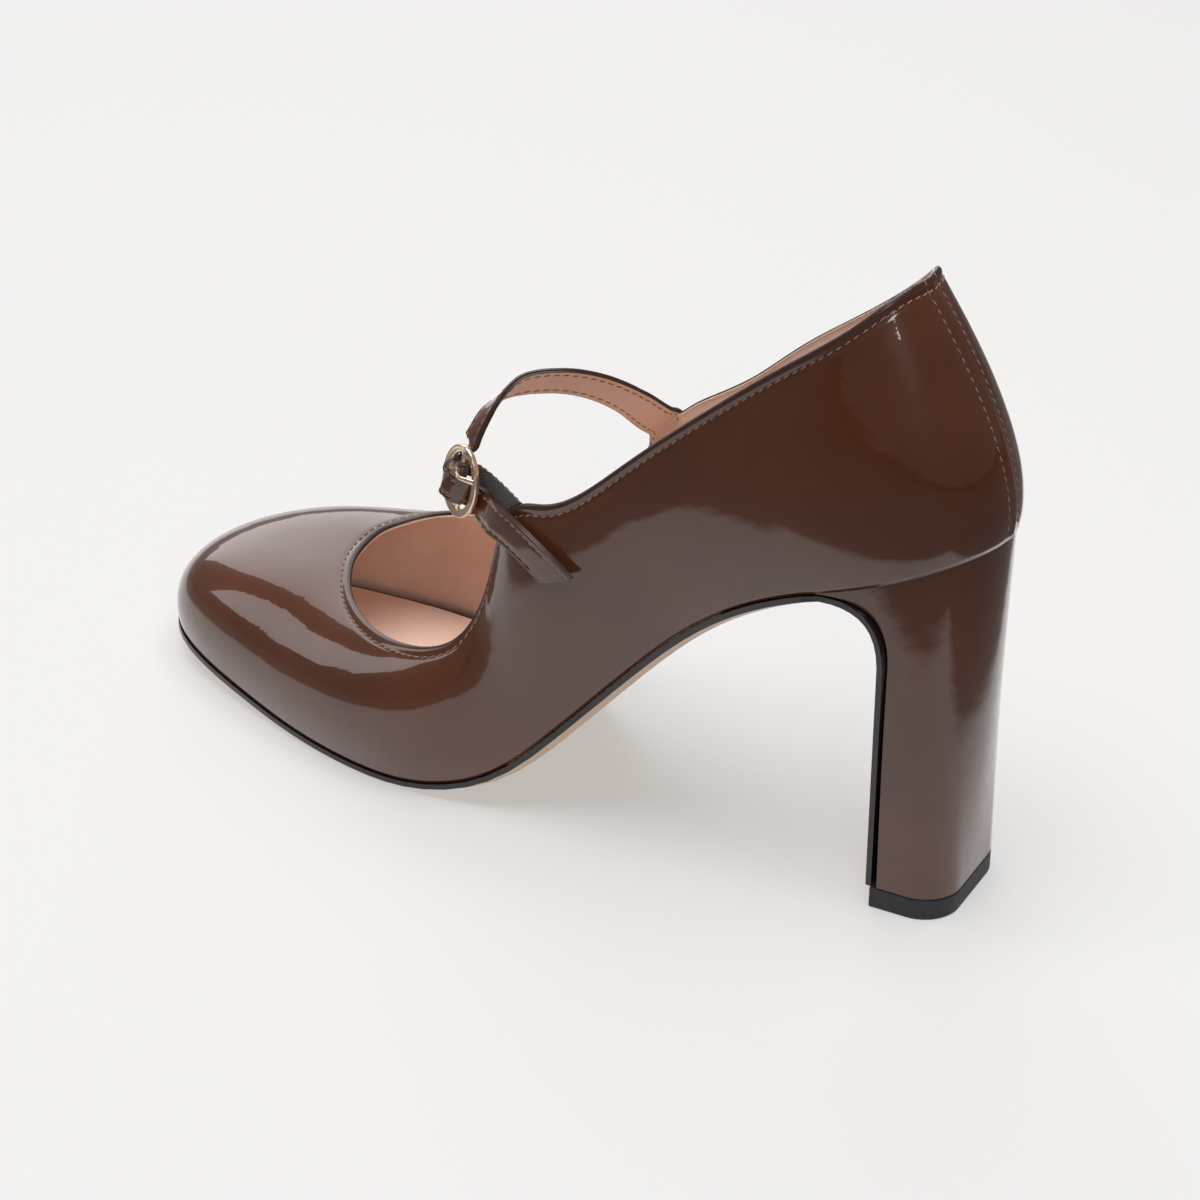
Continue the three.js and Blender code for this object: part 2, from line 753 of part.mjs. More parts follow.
// Outside of the strap as rows of points across it, from the quarter's topline to the tail's end
function strapOutside() {
  const { curve, rows: shape } = strapLine();
  const acrossAt = (share) => {
    const heading = curve.getTangent(share);
    const across = ringDown.clone()
      .addScaledVector(ringAhead, between(shape, 'turnAhead', share))
      .addScaledVector(ringOff, between(shape, 'turnOff', share));
    return across.addScaledVector(heading, -across.dot(heading)).normalize();
  };
  const bandPoint = (share, side) => {
    const reach = side * between(shape, 'wide', share) * strapWidth / 2;
    const skew = -side * tailSkew * THREE.MathUtils.smoothstep(share, 0.85, 1);
    const heading = curve.getTangent(share);
    return curve.getPoint(share).addScaledVector(acrossAt(share), reach).addScaledVector(heading, skew);
  };
  const sides = Array.from({ length: strapColumns + 1 }, (_, k) => 2 * k / strapColumns - 1);
  const rows = [];
  const alongRim = toplinePoint(neckFront).sub(toplinePoint(neckRear)).normalize();
  for (let i = 0; i < neckRows; i++) {
    rows.push(sides.map((side) => {
      const around = lerp(neckRear, neckFront, (side + 1) / 2);
      const start = toplinePoint(around).addScaledVector(wallEnd(around), 2 * fitGap);
      const end = bandPoint(0, side);
      const rising = wallEnd(around).addScaledVector(alongRim, neckLean * (1 - side) / 2).normalize();
      const pull = start.distanceTo(end) * 0.4;
      const leave = start.clone().addScaledVector(rising, pull);
      const arrive = end.clone().addScaledVector(curve.getTangent(0), -pull);
      return new THREE.CubicBezierCurve3(start, leave, arrive, end).getPoint(i / neckRows);
    }));
  }
  for (let i = 0; i <= bandRows; i++) rows.push(sides.map((side) => bandPoint(i / bandRows, side)));
  return rows;
}

// Closed sections of a strip, from rows of points on its outside and a thickness behind them
function stripSections(rows, thickness) {
  const last = rows.length - 1;
  return rows.map((row, i) => {
    const inside = row.map((point, k) => {
      const forth = rows[Math.min(i + 1, last)][k].clone().sub(rows[Math.max(i - 1, 0)][k]);
      const across = row[Math.min(k + 1, row.length - 1)].clone().sub(row[Math.max(k - 1, 0)]);
      return point.clone().addScaledVector(forth.cross(across).normalize(), thickness);
    });
    return [...row, ...inside.reverse()];
  });
}

function strapGeometry() {
  const sections = stripSections(strapOutside(), strapThickness);
  const hole = tubeGeometry(prongLine(), prongRadius + fitGap);
  return fromManifold(toManifold(ringsToGeometry(sections)).subtract(toManifold(hole)));
}

// Solid rod of round section through a list of points
function tubeGeometry(points, radius) {
  const curve = new THREE.CatmullRomCurve3(points, false, 'centripetal');
  const steps = points.length * 2;
  const frames = curve.computeFrenetFrames(steps, false);
  const corners = 10;
  const rings = Array.from({ length: steps + 1 }, (_, i) => {
    const centre = curve.getPointAt(i / steps);
    return Array.from({ length: corners }, (_, k) => {
      const angle = 2 * Math.PI * k / corners;
      return centre.clone()
        .addScaledVector(frames.normals[i], radius * Math.cos(angle))
        .addScaledVector(frames.binormals[i], radius * Math.sin(angle));
    });
  });
  return ringsToGeometry(rings);
}

// The prong's centre line: round the bar, up through the strap and down onto the ring's rear side.
// ahead and off: shares of the ring's width.
const prongPlace = -0.17;
const prongRise = table(
  ['ahead', 'off'],
  [
    [-0.095, 0.205],
    [-0.22, 0.245],
    [-0.36, 0.19],
  ],
);

function prongLine() {
  const hook = barRadius + pinGap + prongRadius;
  const place = prongPlace * ringLength;
  const points = [];
  const turns = 6;
  for (let i = 0; i <= turns; i++) {
    const angle = lerp(-0.3, 0.5, i / turns) * Math.PI;
    points.push(ringPoint(place, hook * Math.cos(angle), hook * Math.sin(angle)));
  }
  for (const { ahead, off } of prongRise) points.push(ringPoint(place, ahead * ringWidth, off * ringWidth));
  const rest = ringThickness / 2 + fitGap + prongRadius;
  points.push(ringPoint(place, fitGap - ringWidth / 2, rest));
  return points;
}

// Turns a shape drawn in the ring's plane, x back and y up, to its place on the shoe
function ontoRing(geometry) {
  const basis = new THREE.Matrix4().makeBasis(ringAhead.clone().negate(), ringDown.clone().negate(), ringOff);
  basis.setPosition(ringCentre);
  geometry.applyMatrix4(basis);
  return geometry;
}

function ringGeometry() {
  const bevel = 0.35;
  const shape = new THREE.Shape();
  shape.absellipse(0, 0, ringWidth / 2 - bevel, ringLength / 2 - bevel, 0, Math.PI * 2);
  const hole = new THREE.Path();
  hole.absellipse(0, 0, ringWidth / 2 - ringBand + bevel, ringLength / 2 - ringBand + bevel, 0, Math.PI * 2);
  shape.holes.push(hole);
  const band = new THREE.ExtrudeGeometry(shape, {
    depth: ringThickness - 2 * bevel,
    bevelThickness: bevel,
    bevelSize: bevel,
    bevelSegments: 1,
    curveSegments: 20,
  });
  band.translate(0, 0, bevel - ringThickness / 2);
  const bar = new THREE.CylinderGeometry(barRadius, barRadius, ringLength - ringBand, 14);
  const solid = fromManifold(toManifold(band).add(toManifold(bar)));
  return ontoRing(solid);
}

// Outside of the elastic's band as rows of points, from behind the bar to the quarter's corner
function keeperOutside() {
  const steps = 14;
  const sides = [-1, -1 / 3, 1 / 3, 1];
  const depth = barRadius + pinGap;
  return Array.from({ length: steps + 1 }, (_, i) => sides.map((side) => {
    const start = ringPoint(prongPlace * ringLength + side * keeperWidth / 2, 0, -depth);
    const around = keeperCorner + side * keeperSpread;
    const end = toplinePoint(around).addScaledVector(outward(around), (keeperThickness - upperWall) / 2);
    const straight = start.clone().sub(end).normalize();
    end.addScaledVector(straight, 2 * fitGap).addScaledVector(wallEnd(around), fitGap / 2);
    const leave = start.clone().addScaledVector(ringOff, -keeperSag).addScaledVector(ringAhead, -keeperThickness);
    const arrive = end.clone().lerp(start, 0.35).addScaledVector(ringOff, -keeperSag / 3);
    return new THREE.CubicBezierCurve3(start, leave, arrive, end).getPoint(i / steps);
  }));
}

// The elastic: a sleeve round the bar with a slot for the prong, and its band
function keeperGeometry() {
  const inner = barRadius + pinGap;
  const outer = inner + keeperThickness;
  const height = -prongPlace * ringLength;
  const band = toManifold(ringsToGeometry(stripSections(keeperOutside(), keeperThickness)));
  const place = (geometry) => toManifold(ontoRing(geometry.translate(0, height, 0)));
  const body = place(new THREE.CylinderGeometry(outer, outer, keeperWidth, 20)).add(band);
  const bore = place(new THREE.CylinderGeometry(inner, inner, 3 * keeperWidth, 20));
  const far = 4 * outer;
  const front = place(new THREE.BoxGeometry(far, keeperSlot, far).translate(fitGap - far / 2, 0, 0));
  const above = place(new THREE.BoxGeometry(far, keeperSlot, far).translate(0, 0, fitGap + far / 2));
  return fromManifold(body.subtract(bore).subtract(front.add(above)));
}

function named(name, geometry, color, roughness, metalness = 0) {
  const material = new THREE.MeshStandardMaterial({ color, roughness, metalness });
  const mesh = new THREE.Mesh(geometry, material);
  mesh.name = name;
  return mesh;
}

const shoe = new THREE.Group();
const patentBrown = 0x4a2a1e;
shoe.add(named('upper', upperGeometry(), patentBrown, 0.12));
shoe.add(named('insole', boardGeometry(upperWall + sideGap, 0, insoleThickness), patentBrown, 0.3));
shoe.add(named('sock', boardGeometry(upperWall + sideGap + sockMargin, insoleThickness + sideGap, sockThickness), 0xe6c5b5, 0.6));
shoe.add(named('outsole', outsoleGeometry(), 0xd7b9a0, 0.6));
shoe.add(named('heel_block', heelGeometry(), patentBrown, 0.12));
shoe.add(named('top_lift', topLiftGeometry(), 0x32323a, 0.7));

shoe.add(named('strap', strapGeometry(), patentBrown, 0.12));
shoe.add(named('buckle_ring', ringGeometry(), 0xe1bea0, 0.25, 1));
shoe.add(named('buckle_prong', tubeGeometry(prongLine(), prongRadius), 0xe1bea0, 0.25, 1));
shoe.add(named('buckle_loop', keeperGeometry(), 0x3a261e, 0.9));

// The origin is the middle of the shoe's foot on the floor
const reach = new THREE.Box3().setFromObject(shoe);
const middle = reach.getCenter(new THREE.Vector3());
shoe.position.set(-middle.x, -middle.y, -reach.min.z);

export default shoe;
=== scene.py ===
"""A left mary jane pump in patent leather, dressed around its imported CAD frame.

The file is laid out as a Blender add-on and run as a script. Everything is in metres.
+X points to the toe, +Y to the outer side of the foot and +Z up.
"""

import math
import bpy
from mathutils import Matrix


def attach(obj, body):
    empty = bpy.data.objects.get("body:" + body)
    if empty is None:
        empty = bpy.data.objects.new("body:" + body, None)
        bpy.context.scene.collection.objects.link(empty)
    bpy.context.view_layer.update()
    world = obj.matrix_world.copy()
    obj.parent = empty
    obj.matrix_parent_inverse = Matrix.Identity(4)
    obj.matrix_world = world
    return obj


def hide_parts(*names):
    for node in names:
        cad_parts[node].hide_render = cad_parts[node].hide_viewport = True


bl_info = {
    "name": "Mary Jane Pump",
    "version": (1, 0, 0),
    "blender": (4, 5, 0),
    "location": "View3D > Sidebar > Pump",
    "description": "Builds the looks of a high-heeled mary jane pump around its CAD frame",
    "category": "Object",
}

import bmesh
import bpy
import numpy as np
from mathutils import Vector

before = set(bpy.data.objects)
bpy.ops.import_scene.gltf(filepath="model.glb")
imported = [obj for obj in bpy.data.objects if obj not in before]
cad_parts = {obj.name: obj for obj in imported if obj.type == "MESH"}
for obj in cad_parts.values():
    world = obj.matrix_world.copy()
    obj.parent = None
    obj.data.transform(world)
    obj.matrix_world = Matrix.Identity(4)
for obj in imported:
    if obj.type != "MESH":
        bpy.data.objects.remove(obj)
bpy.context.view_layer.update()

MM = 0.001
BODY = "root"


# Curves


def spline(knots, values, at):
    """Values of a smooth cubic curve through the given ones, at other places along it."""
    knots = np.asarray(knots, float)
    values = np.asarray(values, float)
    shape = values.shape[1:]
    flat = values.reshape(len(knots), -1)
    count = len(knots)
    step = np.diff(knots)[:, None]
    matrix = np.zeros((count, count))
    right = np.zeros_like(flat)
    matrix[0, :2] = matrix[-1, -2:] = (1, -1)
    for i in range(1, count - 1):
        matrix[i, i - 1 : i + 2] = (step[i - 1, 0], 2 * (step[i - 1, 0] + step[i, 0]), step[i, 0])
        right[i] = 6 * ((flat[i + 1] - flat[i]) / step[i] - (flat[i] - flat[i - 1]) / step[i - 1])
    bend = np.linalg.solve(matrix, right)
    at = np.asarray(at, float)
    i = np.clip(np.searchsorted(knots, at, "right") - 1, 0, count - 2)
    b = ((at - knots[i]) / step[i, 0])[:, None]
    a = 1 - b
    curve = ((a**3 - a) * bend[i] + (b**3 - b) * bend[i + 1]) * step[i] ** 2 / 6
    return (a * flat[i] + b * flat[i + 1] + curve).reshape((len(at),) + shape)


def round_spline(values, at, spare=8):
    """The same for values that go round and meet: at runs from 0 to 1 once round."""
    count = len(values)
    wrapped = np.concatenate([values[-spare:], values, values[: spare + 1]])
    knots = np.arange(-spare, count + spare + 1) / count
    return spline(knots, wrapped, at)


def unit(vectors):
    return vectors / np.linalg.norm(vectors, axis=-1, keepdims=True)


def normals(grid):
    """Unit normals of a grid of points whose first direction goes round."""
    around = np.roll(grid, -1, 0) - np.roll(grid, 1, 0)
    return unit(np.cross(around, np.gradient(grid, axis=1)))


def sheet_normals(grid):
    """Unit normals of a grid of points that is open both ways."""
    return unit(np.cross(np.gradient(grid, axis=0), np.gradient(grid, axis=1)))


def read_at(length, lengths, points):
    """The point at a length along a line of points."""
    return [np.interp(length, lengths, points[:, axis]) for axis in range(3)]


def hump(x, middle, width):
    """A soft bump: 1 at the middle, near 0 beyond one and a half widths."""
    return np.exp(-(((x - middle) / width) ** 2))


def smooth(x, low, high):
    """Rises gently from 0 at low to 1 at high."""
    share = np.clip((x - low) / (high - low), 0, 1)
    return share * share * (3 - 2 * share)


# The upper's wall, read back from the frame as rows up the wall and columns round the foot


def merged(node):
    """A CAD node's mesh, in which corners within two micrometres are one."""
    mesh = bmesh.new()
    mesh.from_mesh(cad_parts[node].data)
    bmesh.ops.remove_doubles(mesh, verts=mesh.verts, dist=0.002 * MM)
    return mesh


def wall_lattice(node):
    """Outer and inner points of the CAD upper: [round][from topline down to feather]."""
    mesh = merged(node)
    mesh.verts.index_update()
    places = np.array([v.co for v in mesh.verts])
    turn = {}
    back = {}
    for face in mesh.faces:
        a, b, c = (v.index for v in face.verts)
        for p, q, r in ((a, b, c), (b, c, a), (c, a, b)):
            turn[p, q] = r
            back[p, r] = q
    mesh.free()

    def straight(start, here):
        """The vertex straight on from start through here."""
        there = start
        for _ in range(3):
            there = turn[here, there]
        return there

    def column(first, second):
        found = [first, second]
        while True:
            following = straight(found[-2], found[-1])
            if following == first:
                return found
            found.append(following)

    top = int(np.argmax(places[:, 2]))
    beside = [b for a, b in turn if a == top]
    below = min(beside, key=lambda n: unit(places[n] - places[top])[2])
    sides = ((turn[top, below], turn), (back[top, below], back))
    _, way = max(sides, key=lambda side: places[side[0]][2])
    columns = []
    here, down = top, below
    while not columns or here != top:
        columns.append(column(here, down))
        following = way[here, down]
        down = way[following, down]
        here = following
    grid = places[np.array(columns)]
    rows = grid.shape[1] // 2
    if grid[len(grid) // 8, 0, 1] < 0:
        grid = grid[::-1]
    grid = np.roll(grid, -int(np.argmin(grid[:, rows - 1, 0])), 0)
    return grid[:, :rows], grid[:, : rows - 1 : -1]


OUTER_WALL, INNER_WALL = wall_lattice("upper")
AROUND = 624
UP_ROWS = 72


def wall_surface(lattice):
    """The wall as a fine grid: AROUND columns of UP_ROWS, closer together at the topline."""
    rows = lattice.shape[1]
    down = np.linspace(0, 1, UP_ROWS) ** 1.7
    columns = spline(np.arange(rows) / (rows - 1), lattice.transpose(1, 0, 2), down)
    return round_spline(columns.transpose(1, 0, 2), np.arange(AROUND) / AROUND)


# Meshes


def linked(name, data):
    """An object of the scene that shows this data."""
    piece = bpy.data.objects.new(name, data)
    bpy.context.scene.collection.objects.link(piece)
    return piece


def mesh_object(name, vertices, faces, materials, face_material=None):
    mesh = bpy.data.meshes.new(name)
    mesh.from_pydata([tuple(v) for v in vertices], [], [tuple(f) for f in faces])
    for material in materials:
        mesh.materials.append(material)
    if face_material is not None:
        mesh.polygons.foreach_set("material_index", face_material)
    mesh.polygons.foreach_set("use_smooth", [True] * len(mesh.polygons))
    mesh.validate()
    mesh.update()
    return linked(name, mesh)


def tube(name, sections, materials, kinds=(0,), end=None):
    """A closed body from cross-sections, which go round and meet or end in faces of one kind.

    kinds and end say which material each strip of faces has, and both ends.
    """
    count, corners, _ = sections.shape
    faces = []
    for i in range(count if end is None else count - 1):
        here = i * corners
        there = (i + 1) % count * corners
        for k in range(corners):
            m = (k + 1) % corners
            faces.append((here + k, here + m, there + m, there + k))
    face_material = [kinds[n % len(kinds)] for n in range(len(faces))]
    if end is not None:
        last = (count - 1) * corners
        faces += [tuple(range(corners)), tuple(range(last, last + corners))]
        face_material += [end, end]
    piece = mesh_object(name, sections.reshape(-1, 3), faces, materials, face_material)
    mesh = bmesh.new()
    mesh.from_mesh(piece.data)
    bmesh.ops.recalc_face_normals(mesh, faces=mesh.faces)
    mesh.to_mesh(piece.data)
    mesh.free()
    return piece


def frame_copy(node, name, materials, sharp=35):
    """A merged copy of a CAD node, with flat areas joined and smooth shading up to an angle."""
    mesh = merged(node)
    flat = math.radians(0.4)
    bmesh.ops.dissolve_limit(mesh, angle_limit=flat, verts=mesh.verts, edges=mesh.edges)
    for edge in mesh.edges:
        edge.smooth = edge.calc_face_angle(0) < math.radians(sharp)
    for face in mesh.faces:
        face.smooth = True
    data = bpy.data.meshes.new(name)
    mesh.to_mesh(data)
    mesh.free()
    data.materials.clear()
    for material in materials:
        data.materials.append(material)
    return linked(name, data)


def rounded(piece, width, angle=35, material=-1):
    """Rounds the sharp edges of a piece, and makes the result its plain mesh."""
    bevel = piece.modifiers.new("rounded edges", "BEVEL")
    bevel.width = width
    bevel.segments = 2
    bevel.limit_method = "ANGLE"
    bevel.angle_limit = math.radians(angle)
    bevel.material = material
    return plain(piece)


def plain(piece):
    """Applies the modifiers of a piece, so that only its mesh is left."""
    depsgraph = bpy.context.evaluated_depsgraph_get()
    result = bpy.data.meshes.new_from_object(piece.evaluated_get(depsgraph))
    old = piece.data
    piece.modifiers.clear()
    piece.data = result
    result.name = piece.name
    bpy.data.meshes.remove(old)
    return piece


def settle(piece, slot, *nodes):
    """Fixes a finished piece to the shoe, in place of CAD nodes, which it hides. The slot is not used."""
    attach(piece, BODY)
    if nodes:
        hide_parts(*nodes)


def dress(node, name, finish, slot, width):
    """A copy of a CAD node in one finish, with its sharp edges rounded."""
    settle(rounded(frame_copy(node, name, [finish]), width), slot, node)


# Materials


def linear(red, green, blue):
    """A colour given as 0 to 255 screen values, as Blender's linear colour."""
    parts = [c / 255 for c in (red, green, blue)]
    return (*(p / 12.92 if p <= 0.04045 else ((p + 0.055) / 1.055) ** 2.4 for p in parts), 1.0)


def tinted(tone, share):
    """A darker or lighter tone of the same colour."""
    return (*(min(c * share, 1) for c in tone[:3]), 1.0)


def add_node(tree, kind, settings=None, **inputs):
    """A node with its settings, whose inputs are linked to sockets or hold plain values."""
    made = tree.nodes.new(kind)
    for name, value in (settings or {}).items():
        setattr(made, name, value)
    for name, value in inputs.items():
        socket = made.inputs[name.replace("_", " ")]
        if isinstance(value, bpy.types.NodeSocket):
            tree.links.new(value, socket)
        else:
            socket.default_value = value
    return made


class Finish:
    """A material under construction: a Principled shader with patterns on Object coordinates."""

    def __init__(self, name, roughness, **sockets):
        self.material = bpy.data.materials.new(name)
        self.material.use_nodes = True
        self.tree = self.material.node_tree
        self.shader = self.tree.nodes["Principled BSDF"]
        self.shader.inputs["Roughness"].default_value = roughness
        for socket, value in sockets.items():
            self.shader.inputs[socket.replace("_", " ")].default_value = value
        self.place = self.node("ShaderNodeTexCoord").outputs["Object"]
        self.height = None

    def node(self, kind, settings=None, **inputs):
        return add_node(self.tree, kind, settings, **inputs)

    def join(self, output, *sockets):
        """Links an output to sockets of the shader."""
        for socket in sockets:
            self.tree.links.new(output, self.shader.inputs[socket])

    def noise(self, scale, detail=3.0, roughness=0.5):
        made = self.node(
            "ShaderNodeTexNoise", Vector=self.place, Scale=scale, Detail=detail, Roughness=roughness
        )
        return made.outputs["Fac"]

    def cells(self, scale):
        return self.node("ShaderNodeTexVoronoi", Vector=self.place, Scale=scale).outputs["Distance"]

    def waves(self, scale, axis, distortion=0.0):
        settings = {"bands_direction": axis}
        made = self.node(
            "ShaderNodeTexWave", settings, Vector=self.place, Scale=scale, Distortion=distortion
        )
        return made.outputs["Fac"]

    def colour(self, factor, *stops):
        """Colours the finish by a pattern; a stop is its place and its tone."""
        ramp = self.node("ShaderNodeValToRGB", Fac=factor)
        for element, (place, tone) in zip(ramp.color_ramp.elements, stops):
            element.position = place
            element.color = tone
        self.join(ramp.outputs["Color"], "Base Color")

    def rough(self, factor, low, high):
        made = self.node("ShaderNodeMapRange", Value=factor, To_Min=low, To_Max=high)
        self.join(made.outputs["Result"], "Roughness")

    def bump(self, factor, distance):
        """Adds a relief of that depth, in metres."""
        made = self.node("ShaderNodeBump", Height=factor, Distance=distance)
        if self.height:
            self.tree.links.new(self.height, made.inputs["Normal"])
        self.height = made.outputs["Normal"]
        self.join(self.height, "Normal", "Coat Normal")


def patent_leather(name, tone):
    """Brown leather under a thick clear gloss that ripples a little."""
    finish = Finish(name, 0.3, Specular_IOR_Level=0.2, Coat_Weight=1.0, Coat_Roughness=0.015, Coat_IOR=1.6)
    finish.colour(finish.noise(38, 4), (0.32, tinted(tone, 0.86)), (0.7, tinted(tone, 1.16)))
    finish.rough(finish.noise(160, 3), 0.26, 0.36)
    finish.bump(finish.noise(34, 2, 0.4), 0.32 * MM)
    finish.bump(finish.noise(105, 2, 0.5), 0.11 * MM)
    finish.bump(finish.noise(1400, 2), 0.006 * MM)
    return finish.material


def soft_leather(name, tone):
    """Matt lining leather with a fine grain and faint clouds."""
    finish = Finish(name, 0.55, Sheen_Weight=0.15, Sheen_Roughness=0.5)
    finish.colour(finish.noise(55, 5, 0.6), (0.3, tinted(tone, 0.88)), (0.72, tone))
    finish.rough(finish.noise(300, 3), 0.48, 0.64)
    finish.bump(finish.cells(1500), 0.03 * MM)
    finish.bump(finish.noise(3300, 2), 0.012 * MM)
    finish.bump(finish.noise(60, 3), 0.09 * MM)
    return finish.material


def edge_paint(name, tone):
    """Painted cut edge: satin, slightly lumpy."""
    finish = Finish(name, 0.3, Coat_Weight=0.35, Coat_Roughness=0.15)
    finish.colour(finish.noise(420, 3), (0.4, tone), (0.75, tinted(tone, 1.35)))
    finish.rough(finish.noise(700, 3), 0.24, 0.42)
    finish.bump(finish.noise(900, 3), 0.03 * MM)
    return finish.material


def sole_leather(name, tone):
    """Smooth pale sole leather with short fibres and a few faint scuffs."""
    finish = Finish(name, 0.42, Coat_Weight=0.15, Coat_Roughness=0.3)
    finish.colour(finish.noise(90, 6, 0.65), (0.3, tinted(tone, 0.82)), (0.7, tone))
    finish.rough(finish.noise(240, 5), 0.36, 0.56)
    finish.bump(finish.noise(2600, 2), 0.02 * MM)
    finish.bump(finish.noise(120, 4), 0.05 * MM)
    return finish.material


def thread(name, tone):
    """Twisted thread, with its twist as a relief."""
    finish = Finish(name, 0.62, Sheen_Weight=0.3)
    finish.colour(finish.noise(2400, 2), (0.3, tinted(tone, 0.7)), (0.7, tone))
    finish.bump(finish.waves(900, "DIAGONAL"), 0.06 * MM)
    return finish.material


def pale_gold(name, tone):
    """Polished metal with small differences in its gloss."""
    finish = Finish(name, 0.28, Metallic=0.85)
    finish.colour(finish.noise(180, 3), (0.35, tinted(tone, 0.9)), (0.7, tone))
    finish.rough(finish.noise(700, 4), 0.16, 0.24)
    finish.bump(finish.noise(1200, 3), 0.002 * MM)
    return finish.material


def knit(name, tone):
    """Ribbed elastic with a rough surface, and painted shade in the grooves between its ribs."""
    finish = Finish(name, 0.85, Sheen_Weight=0.5)
    rib = finish.waves(420, "Z", 1.5)
    # The grooves between the ribs are painted darker along the same wave as the relief: painted shade in
    # them
    finish.colour(rib, (0.2, tinted(tone, 0.45)), (0.8, tone))
    finish.bump(rib, 0.25 * MM)
    finish.bump(finish.cells(2200), 0.12 * MM)
    return finish.material


def rubber(name, tone):
    """Dull rubber with a fine grain."""
    finish = Finish(name, 0.6)
    finish.colour(finish.noise(300, 4), (0.35, tone), (0.8, tinted(tone, 1.5)))
    finish.rough(finish.noise(500, 4), 0.5, 0.72)
    finish.bump(finish.noise(1800, 3), 0.04 * MM)
    return finish.material


def pale_paper(stage):
    """Floor: pale and glowing inside the picture, grey beyond, where the leather reflects it."""
    paper = Finish("pale paper", 0.75, Emission_Color=linear(243, 242, 240))
    turned = paper.node(
        "ShaderNodeMapping", Vector=paper.place, Rotation=(0, 0, -stage.yaw), Location=(0.01, 0, 0)
    )
    apart = paper.node("ShaderNodeSeparateXYZ", Vector=turned.outputs["Vector"])

    def maths(operation, *values):
        made = paper.node("ShaderNodeMath", {"operation": operation})
        for value, socket in zip(values, made.inputs):
            paper.tree.links.new(value, socket)
        return made.outputs[0]

    def ranged(value, **limits):
        return paper.node("ShaderNodeMapRange", Value=value, **limits).outputs["Result"]

    # The pale area widens away from the camera, as the picture does
    wider = ranged(apart.outputs["Y"], From_Min=-6.0, From_Max=1.0, To_Min=4.91, To_Max=0.223)
    aside = maths("DIVIDE", maths("ABSOLUTE", apart.outputs["X"]), wider)
    beyond = ranged(maths("MAXIMUM", apart.outputs["Y"], aside), From_Min=0.18, From_Max=0.2)
    paper.colour(beyond, (0, linear(176, 175, 174)), (1, linear(104, 102, 102)))
    glow = ranged(beyond, To_Min=stage.glow, To_Max=0.0)
    paper.join(glow, "Emission Strength")
    return paper.material


FINISHES = {
    "patent": ("patent leather", patent_leather),
    "lining": ("nude lining", soft_leather),
    "edge": ("painted edge", edge_paint),
    "thread": ("brown thread", thread),
    "sole": ("sole leather", sole_leather),
    "sole_edge": ("sole edge paint", edge_paint),
    "gold": ("pale gold", pale_gold),
    "elastic": ("knit elastic", knit),
    "rubber": ("tip rubber", rubber),
}


def shades():
    """The finishes of the shoe by plain name, made the first time that they are asked for."""
    look = bpy.context.scene.pump_look
    return {
        key: bpy.data.materials.get(name) or maker(name, tuple(getattr(look, key)))
        for key, (name, maker) in FINISHES.items()
    }


# Stitches, made by geometry nodes along a path


def stitch_tree():
    """Small oval stitches along a path whose points carry the way outwards."""
    tree = bpy.data.node_groups.get("stitch row")
    if tree:
        return tree
    tree = bpy.data.node_groups.new("stitch row", "GeometryNodeTree")
    face = tree.interface
    face.new_socket("Path", in_out="INPUT", socket_type="NodeSocketGeometry")
    for name, value in (("Pitch", 2.6), ("Length", 2.1), ("Width", 0.6), ("Height", 0.5)):
        socket = face.new_socket(name, in_out="INPUT", socket_type="NodeSocketFloat")
        socket.subtype = "DISTANCE"
        socket.default_value = value * MM
    face.new_socket("Slant", in_out="INPUT", socket_type="NodeSocketFloat").default_value = 0.16
    face.new_socket("Thread", in_out="INPUT", socket_type="NodeSocketMaterial")
    face.new_socket("Stitches", in_out="OUTPUT", socket_type="NodeSocketGeometry")
    given = tree.nodes.new("NodeGroupInput").outputs

    def add(kind, settings=None, **inputs):
        return add_node(tree, kind, settings, **inputs).outputs[0]

    path = add("GeometryNodeMeshToCurve", Mesh=given["Path"])
    even = add("GeometryNodeResampleCurve", {"mode": "LENGTH"}, Curve=path, Length=given["Pitch"])
    ball = add("GeometryNodeMeshUVSphere", Segments=8, Rings=5, Radius=0.5)
    size = add("ShaderNodeCombineXYZ", X=given["Length"], Y=given["Width"], Z=given["Height"])
    stitch = add("GeometryNodeTransform", Geometry=ball, Scale=size)
    tangent = add("GeometryNodeInputTangent")
    along = add("FunctionNodeAlignRotationToVector", {"axis": "X"}, Vector=tangent)
    outward = add("GeometryNodeInputNamedAttribute", {"data_type": "FLOAT_VECTOR"}, Name="outward")
    upright = add(
        "FunctionNodeAlignRotationToVector",
        {"axis": "Z", "pivot_axis": "X"},
        Rotation=along,
        Vector=outward,
    )
    slant = add("FunctionNodeAxisAngleToRotation", Axis=(0, 0, 1), Angle=given["Slant"])
    turned = add(
        "FunctionNodeRotateRotation", {"rotation_space": "LOCAL"}, Rotation=upright, Rotate_By=slant
    )
    place = add("GeometryNodeInstanceOnPoints", Points=even, Instance=stitch, Rotation=turned)
    real = add("GeometryNodeRealizeInstances", Geometry=place)
    soft = add("GeometryNodeSetShadeSmooth", Geometry=real)
    sewn = add("GeometryNodeSetMaterial", Geometry=soft, Material=given["Thread"])
    tree.links.new(sewn, tree.nodes.new("NodeGroupOutput").inputs["Stitches"])
    return tree


